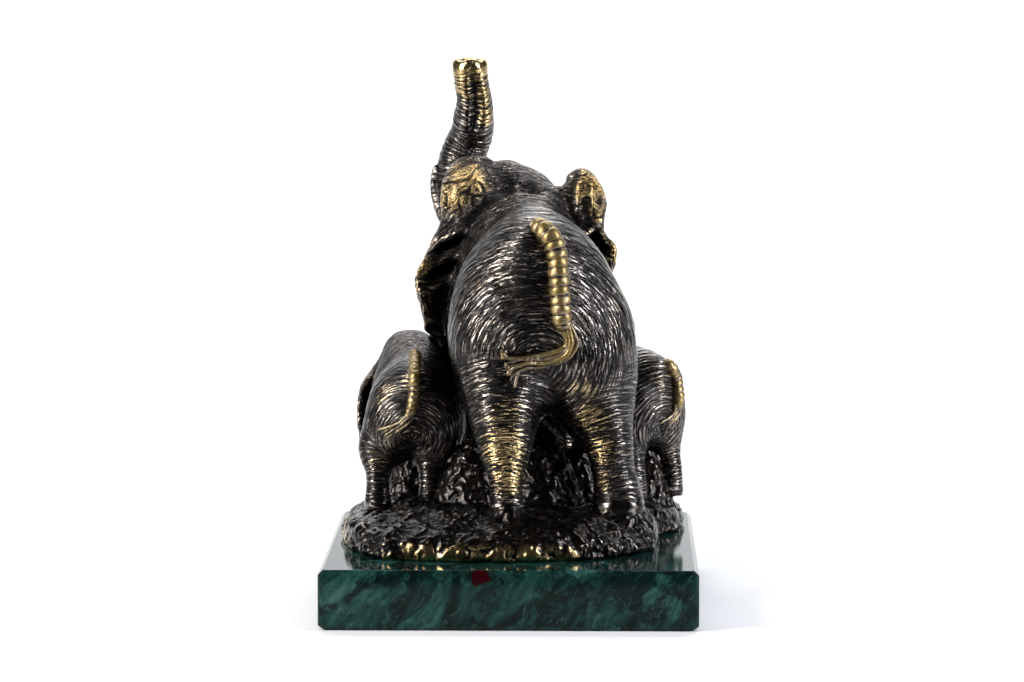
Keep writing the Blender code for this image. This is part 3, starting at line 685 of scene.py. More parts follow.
def bronze_finish(name, gold=0.0, lines=None, line_depth=0.00014, grain_depth=0.00005, dull=0.0,
                  bare=(0.66, 0.48, 0.22), matt=0.0):
    """Waxed cast bronze: brown-black patina, black hollows, bare ridges, golden rubbed places."""
    item, tree, shader, place = new_material(name)

    def noted(value, kind="Fac"):
        return add_node(tree, "ShaderNodeAttribute", attribute_name=value).outputs[kind]

    patina = add_node(tree, "ShaderNodeGroup", node_tree=worn_patina, in_Proud=noted("proud"),
                      in_Rub=noted("rub"), in_Gold=gold, in_Bare=(*bare, 1), in_Place=place)
    tree.links.new(patina.outputs["Colour"], shader.inputs["Base Color"])
    rough = maths(tree, "ADD", patina.outputs["Roughness"], matt)
    tree.links.new(rough, shader.inputs["Roughness"])
    shader.inputs["Metallic"].default_value = 1.0
    shader.inputs["Coat Weight"].default_value = 0.35
    shader.inputs["Coat Roughness"].default_value = 0.22
    grain = add_node(tree, "ShaderNodeBump", in_Strength=0.7, in_Distance=grain_depth,
                     in_Height=noise(tree, place, 1700.0, 4.0, 0.6))
    if lines:
        scratch = add_node(tree, "ShaderNodeGroup", node_tree=lines,
                           in_Body_Way=noted("body_way", "Vector"),
                           in_Limb_Way=noted("limb_way", "Vector"), in_Hold=noted("hold"),
                           in_Place=place).outputs["Height"]
        relief = add_node(tree, "ShaderNodeBump", in_Strength=1.0, in_Distance=line_depth,
                          in_Height=scratch)
        tree.links.new(relief.outputs[0], grain.inputs["Normal"])
        depth = maths(tree, "MULTIPLY_ADD", scratch, 1.6, -1.7)
        depth = maths(tree, "MULTIPLY", depth, noted("scored"))
        tree.links.new(maths(tree, "ADD", noted("ridge"), depth), patina.inputs["Ridge"])
    else:
        tree.links.new(maths(tree, "SUBTRACT", noted("ridge"), dull), patina.inputs["Ridge"])
    tree.links.new(grain.outputs[0], shader.inputs["Normal"])
    tree.links.new(grain.outputs[0], shader.inputs["Coat Normal"])
    return item


ground_bronze = bronze_finish("ground_bronze", gold=-0.3, grain_depth=0.00008, dull=0.6)
ground.data.materials.append(ground_bronze)
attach(ground, "root")
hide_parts("bronze_group")


# Mother elephant.
# The largest figure of the casting: she walks away with her head turned to her left and her
# trunk thrown up. Her hide is scored with fine creases, in arcs round the rump and rings on
# the limbs, and hands have rubbed her ears, trunk tip and tail golden.
mother_legs = [
    [(25, -6, 55.5, 15), (28, -8, 39.5, 13), (32.5, -13, 22.5, 8.8), (34.5, -15, 11.5, 7.4),
     (36, -17, 3.5, 8.4), (36.4, -18, -0.5, 9)],
    [(-3, -10, 55.5, 15), (-2.6, -17, 39.5, 14), (-2, -26, 22.5, 9.6), (-1.6, -30, 12.5, 6.2),
     (-1.4, -31, 6.5, 5.4), (-1.2, -31.5, 0.5, 6.4)],
    [(17, 30, 59.5, 15), (18, 28, 39.5, 10.6), (17, 27, 21.5, 8), (16.5, 28, 9.5, 7.6),
     (16.5, 29, 1.5, 8.6)],
    [(-10, 34, 59.5, 14), (-11, 37, 39.5, 10.6), (-12, 40, 21.5, 8), (-12, 41, 9.5, 7.6),
     (-12, 42, 1.5, 8.6)]]
mother_trunk = [(-5, 50, 95.5, 13), (-12, 54.5, 94.5, 11), (-17, 56.5, 99.5, 9.6),
                (-19, 57.5, 108.5, 8.6), (-17.8, 57, 115.5, 8.1), (-15.4, 54.5, 121.5, 7.6),
                (-14.6, 51, 127.5, 7.2), (-14.2, 48, 133, 6.4), (-15, 45.5, 139, 6.1),
                (-15.4, 44, 143.5, 6.2), (-15.6, 43.5, 145.5, 6.4)]


def sized(at, size, points):
    """Points with radii, given in hundredths of an animal, at their real place and size."""
    return [np.append(at(p[:3]), p[3] * size) for p in points]


def shapers(wax, at, size, turn=0.0):
    """The tools limb and egg for one animal, with all their numbers in hundredths."""

    def limb(points, soft, **more):
        wax.limb(sized(at, size, points), soft=soft * size, **more)

    def egg(centre, radii, soft, heading=0.0, **more):
        wax.egg(at(centre), np.asarray(radii) * size, soft=soft * size, turn=turn + heading,
                **more)

    return limb, egg


def sheet_between(root, margin, across, bulge, flutes):
    """An ear: a grid of points from its root line to its free edge, bulging and fluted."""
    rows = len(margin)
    root = np.asarray(root, dtype=float)
    bulge = np.asarray(bulge)
    grid = np.zeros((rows, across, 3))
    for row in range(rows):
        share = row / (rows - 1)
        place = share * (len(root) - 1)
        k = min(int(place), len(root) - 2)
        inner = root[k] + (root[k + 1] - root[k]) * (place - k)
        for column in range(across):
            t = column / (across - 1)
            push = math.sin(math.pi * t) * math.sin(math.pi * share)
            push += flutes * t * math.sin(share * 6 * math.pi)
            grid[row, column] = inner + (margin[row] - inner) * t + bulge * push
    return grid


def mother_body(wax):
    limb, egg = shapers(wax, in_group, hundredth)
    egg((8, -5, 65.5), (28, 26, 31.5), soft=6)
    egg((5, 18, 60.5), (26, 34, 30), soft=8)
    egg((3, 34, 66.5), (23, 17, 31), soft=8)
    limb([(8, -17, 87, 8), (7, 0, 88.5, 9), (5, 16, 89.5, 9), (3, 32, 89.5, 11)], soft=12)
    egg((25.2, -8, 48.5), (15.6, 19, 26), soft=9)
    limb(mother_legs[0], soft=8)
    egg((-2.5, -11, 53.5), (17, 18, 25), soft=9)
    limb(mother_legs[1], soft=7)
    limb(mother_legs[2], soft=8)
    limb(mother_legs[3], soft=8)
    limb([(3, 26, 78.5, 19), (2.5, 38, 89.5, 16), (1, 46, 94.5, 13)], soft=8)
    egg((-4, 43, 101.5), (11, 12, 11.6), heading=40, soft=4)
    egg((4.2, 45, 99), (9.4, 12, 10.4), heading=40, soft=4)
    egg((-4, 50, 91.5), (14, 14, 14), heading=40, soft=6)
    limb([(-3, 49, 84.5, 9), (-9, 55, 80.5, 6.5), (-14, 60, 79.5, 4)], soft=5)
    limb(mother_trunk, soft=5)
    limb([(-14.6, 36.6, 143.5, 1.4), (-14.1, 38.6, 139, 2.1), (-13.2, 40.8, 133, 2.4),
          (-13.4, 43.4, 128, 2.1), (-14.6, 46.2, 123.5, 1.0)], soft=1.5, hollow=True)
    egg((-15.9, 43.6, 152.5), (5.2, 5.2, 7), soft=1, hollow=True)
    egg((-15.9, 43.6, 157.5), (12, 12, 9.4), soft=1, hollow=True)
    egg((-18.6, 38.2, 149.4), (1.8, 2.4, 2), soft=1, hollow=True)
    egg((-11.6, 39.4, 149.6), (1.6, 2.4, 1.9), soft=1, hollow=True)
    # Hollows of the brow, the temple behind each ear, the eyes and the mouth.
    egg((-2.5, 29.1, 104.5), (3.4, 3, 3.8), soft=3, hollow=True)
    egg((6.2, 29.5, 104), (3.6, 3, 3.8), soft=3, hollow=True)
    for x, y in ((-15.6, 46), (5.5, 60.5)):
        egg((x, y, 98), (2.6, 2.6, 2.2), soft=1.5, hollow=True)
        egg((x, y, 98), (1.7, 1.7, 1.4), soft=0.4)
    limb([(-14, 57, 87, 1.2), (-8, 60, 86, 1.4), (-2, 60.5, 86.5, 1.2)], soft=1, hollow=True)
    limb([(-12, 47, 85.5, 3.2), (-19, 52, 85, 2.9), (-25, 55.5, 91.5, 2.4), (-28, 56.5, 99.5, 2),
          (-28.8, 56.5, 105, 1.5), (-28.4, 56, 109.5, 0.9)], soft=1.5)
    limb([(3, 54, 85.5, 3.2), (1, 60.5, 84, 2.9), (-2.5, 64, 89, 2.4), (-5, 65, 96.5, 2),
          (-6.5, 65, 102.5, 1.3)], soft=1.5)


def mother_ears(wax, half):
    limb, egg = shapers(wax, in_group, hundredth)

    def line(points, steps):
        return curve([in_group(p) for p in points], steps)

    def sheet(inner, outer, across, bulge, flutes, thick):
        grid = sheet_between(inner, outer, across, np.array(bulge) * hundredth, flutes)
        wax.leaf(grid, thick, soft=2 * hundredth)

    root = line([(-8, 42, 109.5), (-9, 41, 99.5), (-9, 41, 89.5), (-8, 42, 79.5)], 4)
    edge = line([(-10, 38, 113), (-17, 34.5, 113.5), (-22.6, 32, 108.5), (-24.6, 31, 101.5),
                 (-24.4, 29, 93.5), (-27, 27, 85), (-30.6, 25, 78), (-33.4, 24, 72.5),
                 (-32.2, 24, 66.5), (-30.6, 24, 60.5), (-28.6, 25, 54.5), (-23, 30, 52.5),
                 (-17, 35, 57.5), (-12, 39, 67.5)], 3)
    sheet(root, edge, 12, (-2, 4, 0), 0.25, half)
    fold = line([(-6, 39, 109), (-9.5, 37, 112.5), (-16, 34, 113.5), (-20.8, 32, 109.5),
                 (-23.6, 30.5, 103)], 4)
    free = line([(-4.5, 33, 104.5), (-8.5, 29, 102), (-13, 26.5, 98.5), (-17.5, 25.5, 95),
                 (-23, 27, 94)], 4)
    sheet(free, fold, 9, (0, -1.6, 0.6), 0.3, half * 1.15)
    limb([(-2.5, 34, 101, 3), (-8, 30, 96.5, 3.4), (-14, 27.5, 92.5, 3), (-20, 26.5, 89.5, 2.4),
          (-26, 27, 86, 1.5)], soft=3)
    limb([(-4, 37, 93, 3.4), (-10, 32.5, 87, 3.2), (-17, 29.5, 83, 2.6), (-24, 27, 80, 2),
          (-30, 25.5, 76, 1.4)], soft=3)
    limb([(-6, 39, 84, 3), (-13, 34, 77.5, 2.8), (-20, 30, 74, 2.3), (-27, 27, 71, 1.7),
          (-32, 25, 67.5, 1.2)], soft=3)
    root = line([(13, 46, 100.5), (14, 45, 94.5), (14, 44, 88.5), (13, 44, 79.5)], 4)
    edge = line([(16, 43, 101), (19.4, 38.5, 106), (23.4, 36, 109.1), (27, 34, 107),
                 (30, 32, 102.5), (30.8, 30.5, 97.5), (30, 29, 91), (31.8, 27.5, 87),
                 (35.2, 26.5, 83.5), (34.2, 26.5, 78.5), (31.5, 28, 72.5), (27, 32, 65.5),
                 (22, 37, 64.5), (17, 41, 70.5)], 3)
    sheet(root, edge, 12, (2, 4, 0), 0.25, half)
    fold = line([(19.5, 38, 107.5), (23.4, 35.5, 109.1), (27.5, 33.5, 106.5), (30, 32, 102)], 4)
    free = line([(19, 33.5, 99), (21.5, 30.5, 93), (25, 29, 88.5), (28.8, 29, 92.5)], 4)
    sheet(free, fold, 8, (0, -1.4, 0), 0.8, half * 1.15)
    egg((15.6, 35, 95), (5.4, 5, 9.5), soft=3)
    limb([(14, 37, 86, 3), (20, 32.5, 82, 2.6), (26, 29, 80.5, 2), (32, 27, 80.5, 1.3)], soft=3)
    # Shallow valleys of the two turned-over tops.
    limb([(-12, 25.4, 110, 1.0), (-14.5, 23.6, 104, 1.5), (-19, 23.2, 97, 1.2)], soft=2,
         hollow=True)
    limb([(23.5, 30.5, 106, 0.8), (24.5, 27.8, 99, 1.4), (26, 27, 92, 1.1)], soft=2, hollow=True)


def along_limbs(points, limbs):
    """Where each point lies on the nearest limb, along it and round it, and how surely."""
    way = np.zeros((len(points), 3))
    hold = np.zeros(len(points))
    for line, fade in limbs:
        line = curve(line, 5)
        lengths = np.linalg.norm(np.diff(line[:, :3], axis=0), axis=1)
        travelled = np.concatenate([[0], np.cumsum(lengths)])
        nearest = np.full(len(points), 9.0)
        here = np.zeros((len(points), 3))
        for k in range(len(line) - 1):
            start, along = line[k, :3], line[k + 1, :3] - line[k, :3]
            t = np.clip(((points - start) @ along) / max(along @ along, 1e-12), 0, 1)
            wide = line[k, 3] + t * (line[k + 1, 3] - line[k, 3])
            off = points - start - t[:, None] * along
            away = np.linalg.norm(off, axis=1) / wide
            closer = away < nearest
            nearest[closer] = away[closer]
            spot = np.stack([travelled[k] + t * lengths[k],
                             np.arctan2(off[:, 0], -off[:, 1]) * wide, off[:, 1] * 0.3], axis=1)
            here[closer] = spot[closer]
        sure = np.clip((1.5 - nearest) / 0.35, 0, 1)
        sure *= np.clip((here[:, 0] - fade[0]) / fade[1], 0, 1)
        better = sure > hold
        way[better] = here[better]
        hold[better] = sure[better]
    return way, hold * hold * (3 - 2 * hold)


def round_the_rump(points, middle, rump_length):
    """Distance from the middle of the arcs, and the way round them; level folds on the chest."""
    off = points - middle
    away = np.linalg.norm(off, axis=1)
    chest = np.clip(away / rump_length - 1, 0, 1)
    round_way = np.arctan2(off[:, 0], off[:, 2]) * np.maximum(away, 0.012)
    return np.stack([away + 0.8 * chest * off[:, 2], round_way, off[:, 1]], axis=1)


def strokes(points, way, pitch, length, seed):
    """Relief of long thin folds lying along a way: 0 on a fold's back, -1 in the creases."""
    crease_width = 0.24
    middle = np.random.default_rng(seed).uniform(0.05, 0.95, (64, 64, 2))
    bend = pitch * (0.9 * swell(points, 0.010, seed + 1) + 0.12 * swell(points, 0.002, seed + 2))
    place = np.stack([(way[:, 0] + bend) / pitch, way[:, 1] / length + 0.3 * bend / pitch], axis=1)
    cell = np.floor(place).astype(int)
    first = np.full(len(points), 9.0)
    second = np.full(len(points), 9.0)
    for i in (-1, 0, 1):
        for j in (-1, 0, 1):
            home = cell + (i, j)
            off = place - home - middle[tuple((home % 64).T)]
            away = np.hypot(off[:, 0], off[:, 1])
            second = np.minimum(second, np.maximum(first, away))
            first = np.minimum(first, away)
    return -np.exp(-((second - first) / crease_width) ** 2)


def score_hide(piece, middle, rump_length, limbs, pitch, depth, most_faces, places, smooth_places):
    """Draw the creases of the hide into a figure and keep their ways for its material. They
    fade on the smooth places, such as ears, which crinkle instead."""
    co = vertex_values(piece.data, "co")
    nor = vertex_values(piece.data, "normal")
    body_way = round_the_rump(co, middle, rump_length)
    limb_way, hold = along_limbs(co, limbs)
    limb_way[:, :1] = relaxed(limb_way[:, :1].copy(), edge_ends(piece.data), 40)
    scored = 1 - rubbed(co, smooth_places)
    relief = (1 - hold) * strokes(co, body_way, pitch, 11 * pitch, 11)
    relief += hold * strokes(co, limb_way, pitch, 8 * pitch, 25)
    relief = depth * scored * relief + depth * swell(co, 0.006, 39)
    relief -= (1 - scored) * 1.5 * depth * np.exp(-(swell(co, 0.0042, 51) / 0.16) ** 2)
    chased(piece, nor * relief[:, None], {"body_way": body_way, "limb_way": limb_way, "hold": hold,
                                          "scored": scored}, most_faces, places)


def wrinkle_group():
    """Fine scratches of the modelling tool, drawn out along the arcs and rings of the hide."""
    tree, into, out = new_group(
        "hide_lines",
        {"Body Way": "Vector", "Limb Way": "Vector", "Place": "Vector", "Hold": "Float"},
        {"Height": "Float"})
    heights = []
    for way in ("Body Way", "Limb Way"):
        long = drawn(tree, swayed(tree, into[way], into["Place"], 200.0, 2.0, (0.0014, 0.006, 0)),
                     (1, 0.075, 1))
        folds = []
        for scale in (900.0, 1900.0):
            fold = add_node(tree, "ShaderNodeTexVoronoi", voronoi_dimensions="2D",
                            feature="DISTANCE_TO_EDGE", in_Vector=long, in_Scale=scale)
            folds.append(maths(tree, "MULTIPLY", fold.outputs["Distance"], 4.0, clamp=True))
        heights.append(maths(tree, "MULTIPLY_ADD", folds[1], 0.5, folds[0]))
    tree.links.new(blended(tree, into["Hold"], heights[0], heights[1]), out["Height"])
    return tree


hide_lines = wrinkle_group()
ear_half = 0.0013
mother_grid = 0.00102
mother_triangles = 195000
mother_crease_pitch = 0.0016
mother_crease_depth = 0.00026
mother_arcs_middle = in_group((8, -24, 50.5))
mother_rump_length = 0.05
wax = Wax(in_group((-37, -40, -3)), in_group((46, 71, 152)), mother_grid)
mother_body(wax)
mother_ears(wax, ear_half)
mother = divided("mother", *wax.skin())
limbs = [(sized(in_group, hundredth, leg), (0.003, 0.012)) for leg in mother_legs]
limbs.append((sized(in_group, hundredth, mother_trunk), (0.008, 0.010)))
mother_rubbed = [(-16, 28, 108, 9, 1.0), (-20.5, 28, 101, 8, 0.9), (-10, 28, 103, 7, 0.5),
                 (26, 31, 104, 8, 1.0), (28, 29, 96, 6, 0.7), (-15.6, 43, 146, 11, 1.5),
                 (-10.5, 42, 136, 6, 0.9), (-9.5, 45, 128, 6, 0.9), (-19, 41, 138, 6, 0.7),
                 (-31, 25, 77, 6, 0.6), (35, 26, 82, 6, 0.6), (-2, -37, 22, 11, 1.0),
                 (0, -37, 12, 9, 1.0), (-2, -33, 33, 9, 0.6), (25, -26, 40, 7, 0.5),
                 (27, -24, 30, 8, 0.9), (29.5, -22, 19, 8, 0.9), (31, -22, 9, 6, 0.5),
                 (-3, -28, 45, 9, 0.35)]
mother_smooth = [(-16, 28, 103, 15, 0.9), (27, 30, 99, 12, 0.9), (2, 34, 104, 9, 0.5)]
score_hide(mother, mother_arcs_middle, mother_rump_length, limbs, mother_crease_pitch,
           mother_crease_depth, mother_triangles, mother_rubbed, mother_smooth)
mother.data.materials.append(bronze_finish("mother_bronze", lines=hide_lines))
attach(mother, "root")
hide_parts("bronze_group")


# Tails.
# The mother's tail is a rope of rolled bands laid on her rump, and ends in a split tuft that
# sweeps to her left. Each calf has a smaller one. Their bare bronze is duller than her ears'.
def tail_line(wax, at, places, radius, sink):
    """Places given as seen from behind, laid on the skin of the rump, with their radii."""
    line = []
    for x, z, share in places:
        px, _, pz = at((x, 0, z))
        line.append((px, wax.back_skin(px, pz) - radius * sink, pz, radius * share))
    return line


def rope(line, sides, band, band_depth):
    """A round rope along points with radii, swelling in bands."""
    ring_gap = 0.00022
    dense = curve(line, 16)
    steps = np.linalg.norm(np.diff(dense[:, :3], axis=0), axis=1)
    travelled = np.concatenate([[0], np.cumsum(steps)])
    rings = max(int(travelled[-1] / ring_gap), 4)
    place = np.linspace(0, travelled[-1], rings)
    centre = np.stack([np.interp(place, travelled, dense[:, k]) for k in range(3)], axis=1)
    radius = np.interp(place, travelled, dense[:, 3])
    way = np.gradient(centre, axis=0)
    way /= np.linalg.norm(way, axis=1, keepdims=True)
    side = np.cross(way, (0.0, 1.0, 0.0))
    side /= np.linalg.norm(side, axis=1, keepdims=True)
    up = np.cross(side, way)
    angle = np.linspace(0, 2 * math.pi, sides, endpoint=False)
    phase = place[:, None] / band + 0.10 * np.sin(angle + 0.6)[None, :]
    bands = np.abs(np.sin(math.pi * phase)) ** 0.3 - 0.85
    end = np.minimum(place, travelled[-1] - place)
    wide = radius[:, None] * (1 + band_depth * bands)
    wide = wide * np.sqrt(np.clip(end / (radius * 0.9), 0.015, 1.0))[:, None]
    outward = (np.cos(angle)[None, :, None] * side[:, None]
               + np.sin(angle)[None, :, None] * up[:, None])
    points = centre[:, None, :] + wide[..., None] * outward
    k = np.arange(sides)
    faces = [np.stack([row * sides + k, (row + 1) * sides + k,
                       (row + 1) * sides + (k + 1) % sides, row * sides + (k + 1) % sides], axis=1)
             for row in range(rings - 1)]
    points = points.reshape(-1, 3)
    ends = [tuple(range(sides)), tuple(range((rings - 1) * sides, rings * sides))[::-1]]
    return points, [tuple(f) for f in np.concatenate(faces).tolist()] + ends


tail_triangles = 60000
tail_gold = 0.7
tail_bare = (0.31, 0.22, 0.085)


def tail(name, ropes):
    """A tail and the strands of its tuft, joined into one piece."""
    all_points, all_faces, start = [], [], 0
    for line, sides, band, depth in ropes:
        points, faces = rope(line, sides, band, depth)
        all_points.append(points)
        all_faces += [tuple(v + start for v in face) for face in faces]
        start += len(points)
    piece = built(name, np.concatenate(all_points).tolist(), all_faces)
    co = vertex_values(piece.data, "co")
    nor = vertex_values(piece.data, "normal")
    relief = 0.00016 * swell(co, 0.0011, 31) + 0.0002 * swell(co, 0.0026, 32)
    chased(piece, nor * relief[:, None], {}, tail_triangles, [])
    piece.data.materials.append(bronze_finish(name + "_bronze", gold=tail_gold, bare=tail_bare,
                                              matt=0.24))
    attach(piece, "root")
    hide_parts("bronze_group")


def tuft(wax, at, places, spread, count, radius):
    """Strands along a line of (x, z) places; each place says how far up the strands fan out."""
    strands = []
    for k in range(count):
        o = 2 * k / (count - 1) - 1
        thick = 0.27 + 0.08 * math.cos(5 * k)
        line = [(x + side * o + 0.5 * math.sin(3 * k + 1.3 * n), z + lift * o
                 + 0.5 * math.cos(2 * k + 1.7 * n), thick * (1 - 0.5 * n / len(places)))
                for n, ((x, z), (side, lift)) in enumerate(zip(places, spread))]
        strands.append((tail_line(wax, at, line, radius, 0.35 + 0.25 * math.sin(4 * k)), 14,
                        0.0013, 0.10))
    return strands


tail_radius = 0.0035
path = [(7.5, 95.5, 0.9), (12, 93, 1), (14.5, 89.5, 1), (15.7, 84.5, 1), (16.2, 78.5, 1),
        (16.6, 71.5, 1), (17.2, 64.5, 0.95), (18.6, 60, 0.75)]
line = tail_line(wax, in_group, path, tail_radius, 0.35)
line[0] = (line[0][0], line[0][1] + 0.004, *line[0][2:])
places = [(17.5, 66), (19.4, 60), (20.2, 56), (17.6, 52.4), (11, 50.3), (5, 49.6), (0.6, 48.6),
          (-1.2, 47.4)]
spread = [(1.6, 0), (1.5, 0), (1.5, -0.4), (1.0, -1.2), (0.3, -1.6), (0, -2), (1.5, -3.2),
          (2.2, -5.4)]
tail("mother_tail", [(line, 30, 0.0031, 0.26)]
     + tuft(wax, in_group, places, spread, 9, tail_radius))


# Calves.
# The two young ones of the casting, one at each side of the mother, scored and rubbed as she
# is. The left one walks beside her, the right one turns in before her forelegs.
calf_length = 0.0625
calf_grid = 0.00078
calf_triangles = 120000
calf_crease_pitch = 0.0013
calf_crease_depth = 0.0002
calf_rump_length = 0.032
calf_tail_radius = 0.0021
calf_trunk = [(0, 88, 67.5, 12), (0, 93, 59.5, 9.2), (0, 95.5, 47.5, 7.4), (0, 95.5, 33.5, 6.2),
              (0, 92, 19.5, 5.2), (0, 91, 5.5, 5)]


def calf_place(foot, turn):
    """Places in a calf, in hundredths of its length. Its rump stands over foot, given as shares
    of the ground's half width and half depth, and it heads that many degrees to the left."""
    c, s = math.cos(math.radians(turn)), math.sin(math.radians(turn))
    base = np.array([foot[0] * ground_half[0], foot[1] * ground_half[1] + ground_shift,
                     ground_top])

    def at(point):
        x, y, z = point
        return base + np.array([c * x - s * y, s * x + c * y, z]) * calf_length / 100

    return at


def calf_legs(leg_shift):
    """Both hind legs, moved sideways by leg_shift, and both forelegs."""
    legs = []
    for side in (-1, 1):
        x = side * 14.5 + leg_shift
        legs.append([(side * 13, 22, 39.5, 12.5), (x + side, 20, 27.5, 9.6), (x, 14, 16, 6.8),
                     (x, 12, 5.5, 6.6), (x, 13, -2.5, 7.8)])
        legs.append([(side * 11, 64, 41.5, 12), (side * 12, 66, 25.5, 9),
                     (side * 12, 66, 11.5, 7.6), (side * 12, 67, -2.5, 8.6)])
    return legs


def calf_body(wax, at, turn, ear_lift, legs, half):
    size = calf_length / 100
    limb, egg = shapers(wax, at, size, turn)
    egg((0, 26, 49.5), (25, 26, 25.5), soft=6)
    egg((0, 46, 47.5), (24, 30, 26), soft=8)
    egg((0, 64, 51.5), (20, 16, 26), soft=8)
    limb([(0, 10, 66.5, 7), (0, 30, 68, 8), (0, 50, 68, 9), (0, 64, 70, 9)], soft=10)
    for side in (-1, 1):
        egg((side * 12, 20, 39.5), (13, 16, 22), soft=8)
    for leg in legs:
        limb(leg, soft=8)
    limb([(0, 60, 59.5, 18), (0, 74, 68.5, 16)], soft=8)
    egg((0, 82, 67.5), (14, 15, 15.5), soft=6)
    egg((-4.2, 81, 75), (8.2, 11, 9.5), soft=5)
    egg((4.2, 81, 75), (8.2, 11, 9.5), soft=5)
    limb([(0, 84, 57.5, 9), (0, 92, 51.5, 5)], soft=5)
    limb(calf_trunk, soft=5)
    for side, lift in zip((-1, 1), ear_lift):
        egg((side * 13, 88, 68), (2.2, 2.2, 2), soft=0.6)
        root = curve([at(p) for p in ((side * 11, 80, 77.5), (side * 14, 79, 67.5),
                                      (side * 12, 79, 55.5))], 4)
        free = ((14, 77, 81.5, 0.5), (20, 72, 81.5, 1), (26, 68, 75.5, 1), (28.5, 66, 67.5, 1),
                (29, 65, 55.5, 1), (27.5, 65, 43.5, 1), (25, 66, 34.5, 1), (20, 72, 39.5, 1),
                (15, 77, 47.5, 0.5))
        edge = curve([at((side * x, y, z + share * lift)) for x, y, z, share in free], 3)
        bulge = at((0, 6, 0)) - at((0, 0, 0))
        wax.leaf(sheet_between(root, edge, 8, bulge, 0.2), half, soft=3 * size)


def calf(name, foot, turn, ear_lift, leg_shift, places, path, sweep, spread):
    """One calf with its scored hide, its tail and its finish."""
    at = calf_place(foot, turn)
    corners = np.array([at((x, y, z)) for x in (-34, 34) for y in (-6, 108) for z in (-6, 94)])
    wax = Wax(corners.min(axis=0), corners.max(axis=0), calf_grid)
    legs = calf_legs(leg_shift)
    calf_body(wax, at, turn, ear_lift, legs, ear_half * 0.85)
    piece = divided(name, *wax.skin())
    size = calf_length / 100
    limbs = [(sized(at, size, leg), (0.001, 0.006)) for leg in legs]
    limbs.append((sized(at, size, calf_trunk), (0.003, 0.004)))
    score_hide(piece, at((-3, 2, 34)), calf_rump_length, limbs, calf_crease_pitch,
               calf_crease_depth, calf_triangles, places, [])
    piece.data.materials.append(bronze_finish(name + "_bronze", lines=hide_lines,
                                              line_depth=0.00012))
    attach(piece, "root")
    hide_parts("bronze_group")

    def behind(point):
        """The same places as seen from behind, for a calf that is not turned."""
        return at((0, 0, 0)) + np.asarray(point, dtype=float) * size

    line = tail_line(wax, behind, path, calf_tail_radius, 0.35)
    line[0] = (line[0][0], line[0][1] + 0.003, *line[0][2:])
    tail(name + "_tail", [(line, 22, 0.0021, 0.26)]
         + tuft(wax, behind, sweep, spread, 5, calf_tail_radius))


calf("calf_left", (-0.548, -0.305), 5, (-18, 4), -6.5,
     [(-46, -4, 38, 9, 0.4), (-45, -5, 14, 7, 0.4), (-34, -8, 40, 5, 0.6)],
     [(-2.6, 78, 0.95), (-1.9, 77.5, 1), (-1.3, 69.5, 1), (-1.3, 60, 1), (-2.9, 50.4, 0.9),
      (-6, 45, 0.6)],
     [(-2, 53), (-4.5, 47), (-10, 41.5), (-16.2, 37.6), (-20, 34.4)],
     [(1.5, 0), (1.2, -1.4), (0.6, -2), (0.8, -2.4), (1.4, -4)])
calf("calf_right", (0.92, 0.237), 46, (-4, -4), 0,
     [(50, 18, 38, 8, 0.3), (59, 20, 31, 6, 0.5), (57, 25, 10, 8, 0.3)],
     [(-4.3, 71.5, 0.9), (1.3, 67.3, 1), (4, 61, 1), (5.1, 51.4, 1), (4.5, 43.4, 0.8)],
     [(5, 48), (4.2, 43), (1.4, 39.4), (-1.6, 36.2), (-3.4, 33.4)],
     [(1.5, 0), (1.4, -0.6), (1.2, -1.2), (1.2, -2), (1.6, -3)])


# Studio.
# A white table that curves up into a white wall, soft boxes at both sides and above, a light on
# the wall, and the camera behind the animals, a little above them, with a long lens.
camera_place = (0.02933, -1.53298, 0.24803)
camera_down = 5.945
camera_left = 1.10
camera_lens = 159.04
camera = bpy.data.cameras.new("camera")
camera.lens = camera_lens
camera.sensor_width = 36
camera.clip_end = 20
seen = placed("camera", camera)
seen.location = camera_place
seen.rotation_euler = (math.radians(90 - camera_down), 0, math.radians(camera_left))
bpy.context.scene.camera = seen


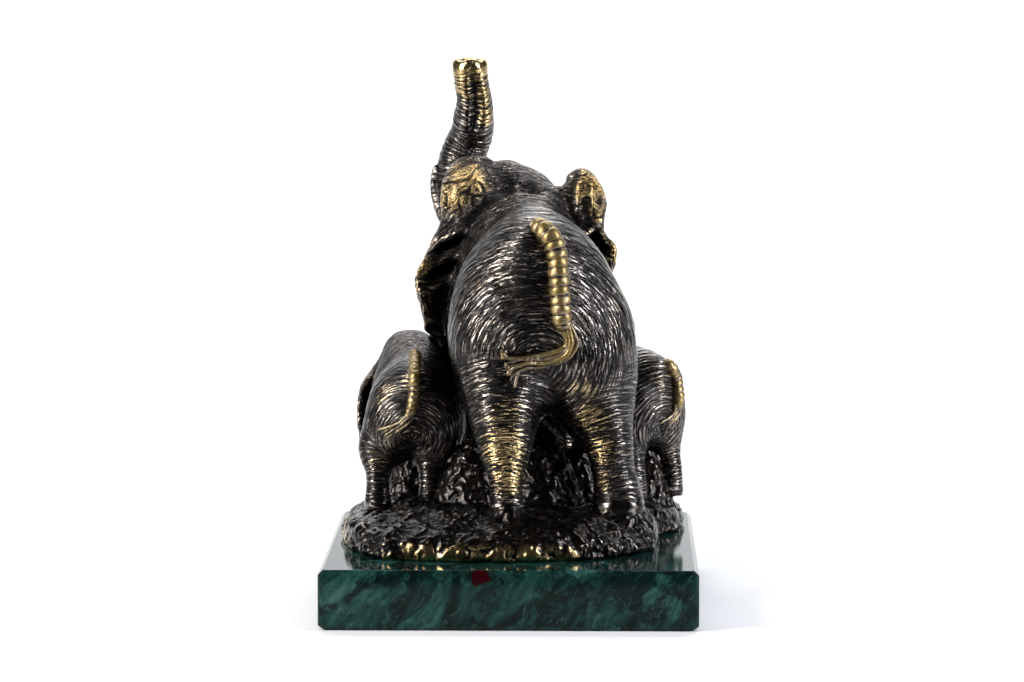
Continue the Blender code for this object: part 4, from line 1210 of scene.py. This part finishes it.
def white_sheet():
    """The table and the wall, joined by a wide curve."""
    near_edge, curve_start, radius, wall_top, half_width = -0.166, 1.2, 0.6, 2.6, 2.6
    profile = [(near_edge, 0.0), (curve_start, 0.0)]
    profile += [(curve_start + radius * math.sin(a), radius - radius * math.cos(a))
                for a in np.linspace(0.1, math.pi / 2, 16)]
    profile += [(curve_start + radius, wall_top)]
    points = [(x, y, z) for y, z in profile for x in (-half_width, half_width)]
    faces = [(2 * k, 2 * k + 1, 2 * k + 3, 2 * k + 2) for k in range(len(profile) - 1)]
    sheet = built("table", points, faces)
    item, tree, shader, place = new_material("white_table")
    cloud = noise(tree, place, 3.0, 2.0)
    tree.links.new(ramp(tree, cloud, [(0.0, (0.87, 0.88, 0.90)), (1.0, (0.93, 0.93, 0.94))]),
                   shader.inputs["Base Color"])
    shader.inputs["Roughness"].default_value = 0.7
    sheet.data.materials.append(item)


def soft_box(name, place, aim, width, height, power, colour=(1, 1, 1)):
    """A rectangular light at a place, turned to what it aims at."""
    light = bpy.data.lights.new(name, "AREA")
    light.shape = "RECTANGLE"
    light.size, light.size_y = width, height
    light.energy = power
    light.color = colour
    box = placed(name, light)
    away = np.array(aim, dtype=float) - np.array(place)
    flat = math.hypot(away[0], away[1])
    box.location = place
    box.rotation_euler = (math.atan2(flat, -away[2]), 0, math.atan2(-away[0], away[1]))


white_sheet()
soft_box("left_box", (-0.58, -0.34, 0.34), (0, 0, 0.09), 0.26, 0.46, 6.5, (1.0, 0.97, 0.94))
soft_box("right_box", (0.60, -0.26, 0.34), (0, 0, 0.09), 0.22, 0.46, 5, (0.90, 0.92, 1.0))
soft_box("top_box", (0.0, 0.75, 0.9), (0, 0.05, 0.0), 0.8, 0.3, 1.0)
soft_box("wall_light", (0, 0.9, 1.9), (0, 1.9, 0.9), 2.4, 0.6, 52)
world = bpy.data.worlds.new("studio")
world.use_nodes = True
world.node_tree.nodes["Background"].inputs["Color"].default_value = (0.8, 0.84, 0.9, 1)
world.node_tree.nodes["Background"].inputs["Strength"].default_value = 0.03
bpy.context.scene.world = world
bpy.context.scene.view_settings.view_transform = "Standard"
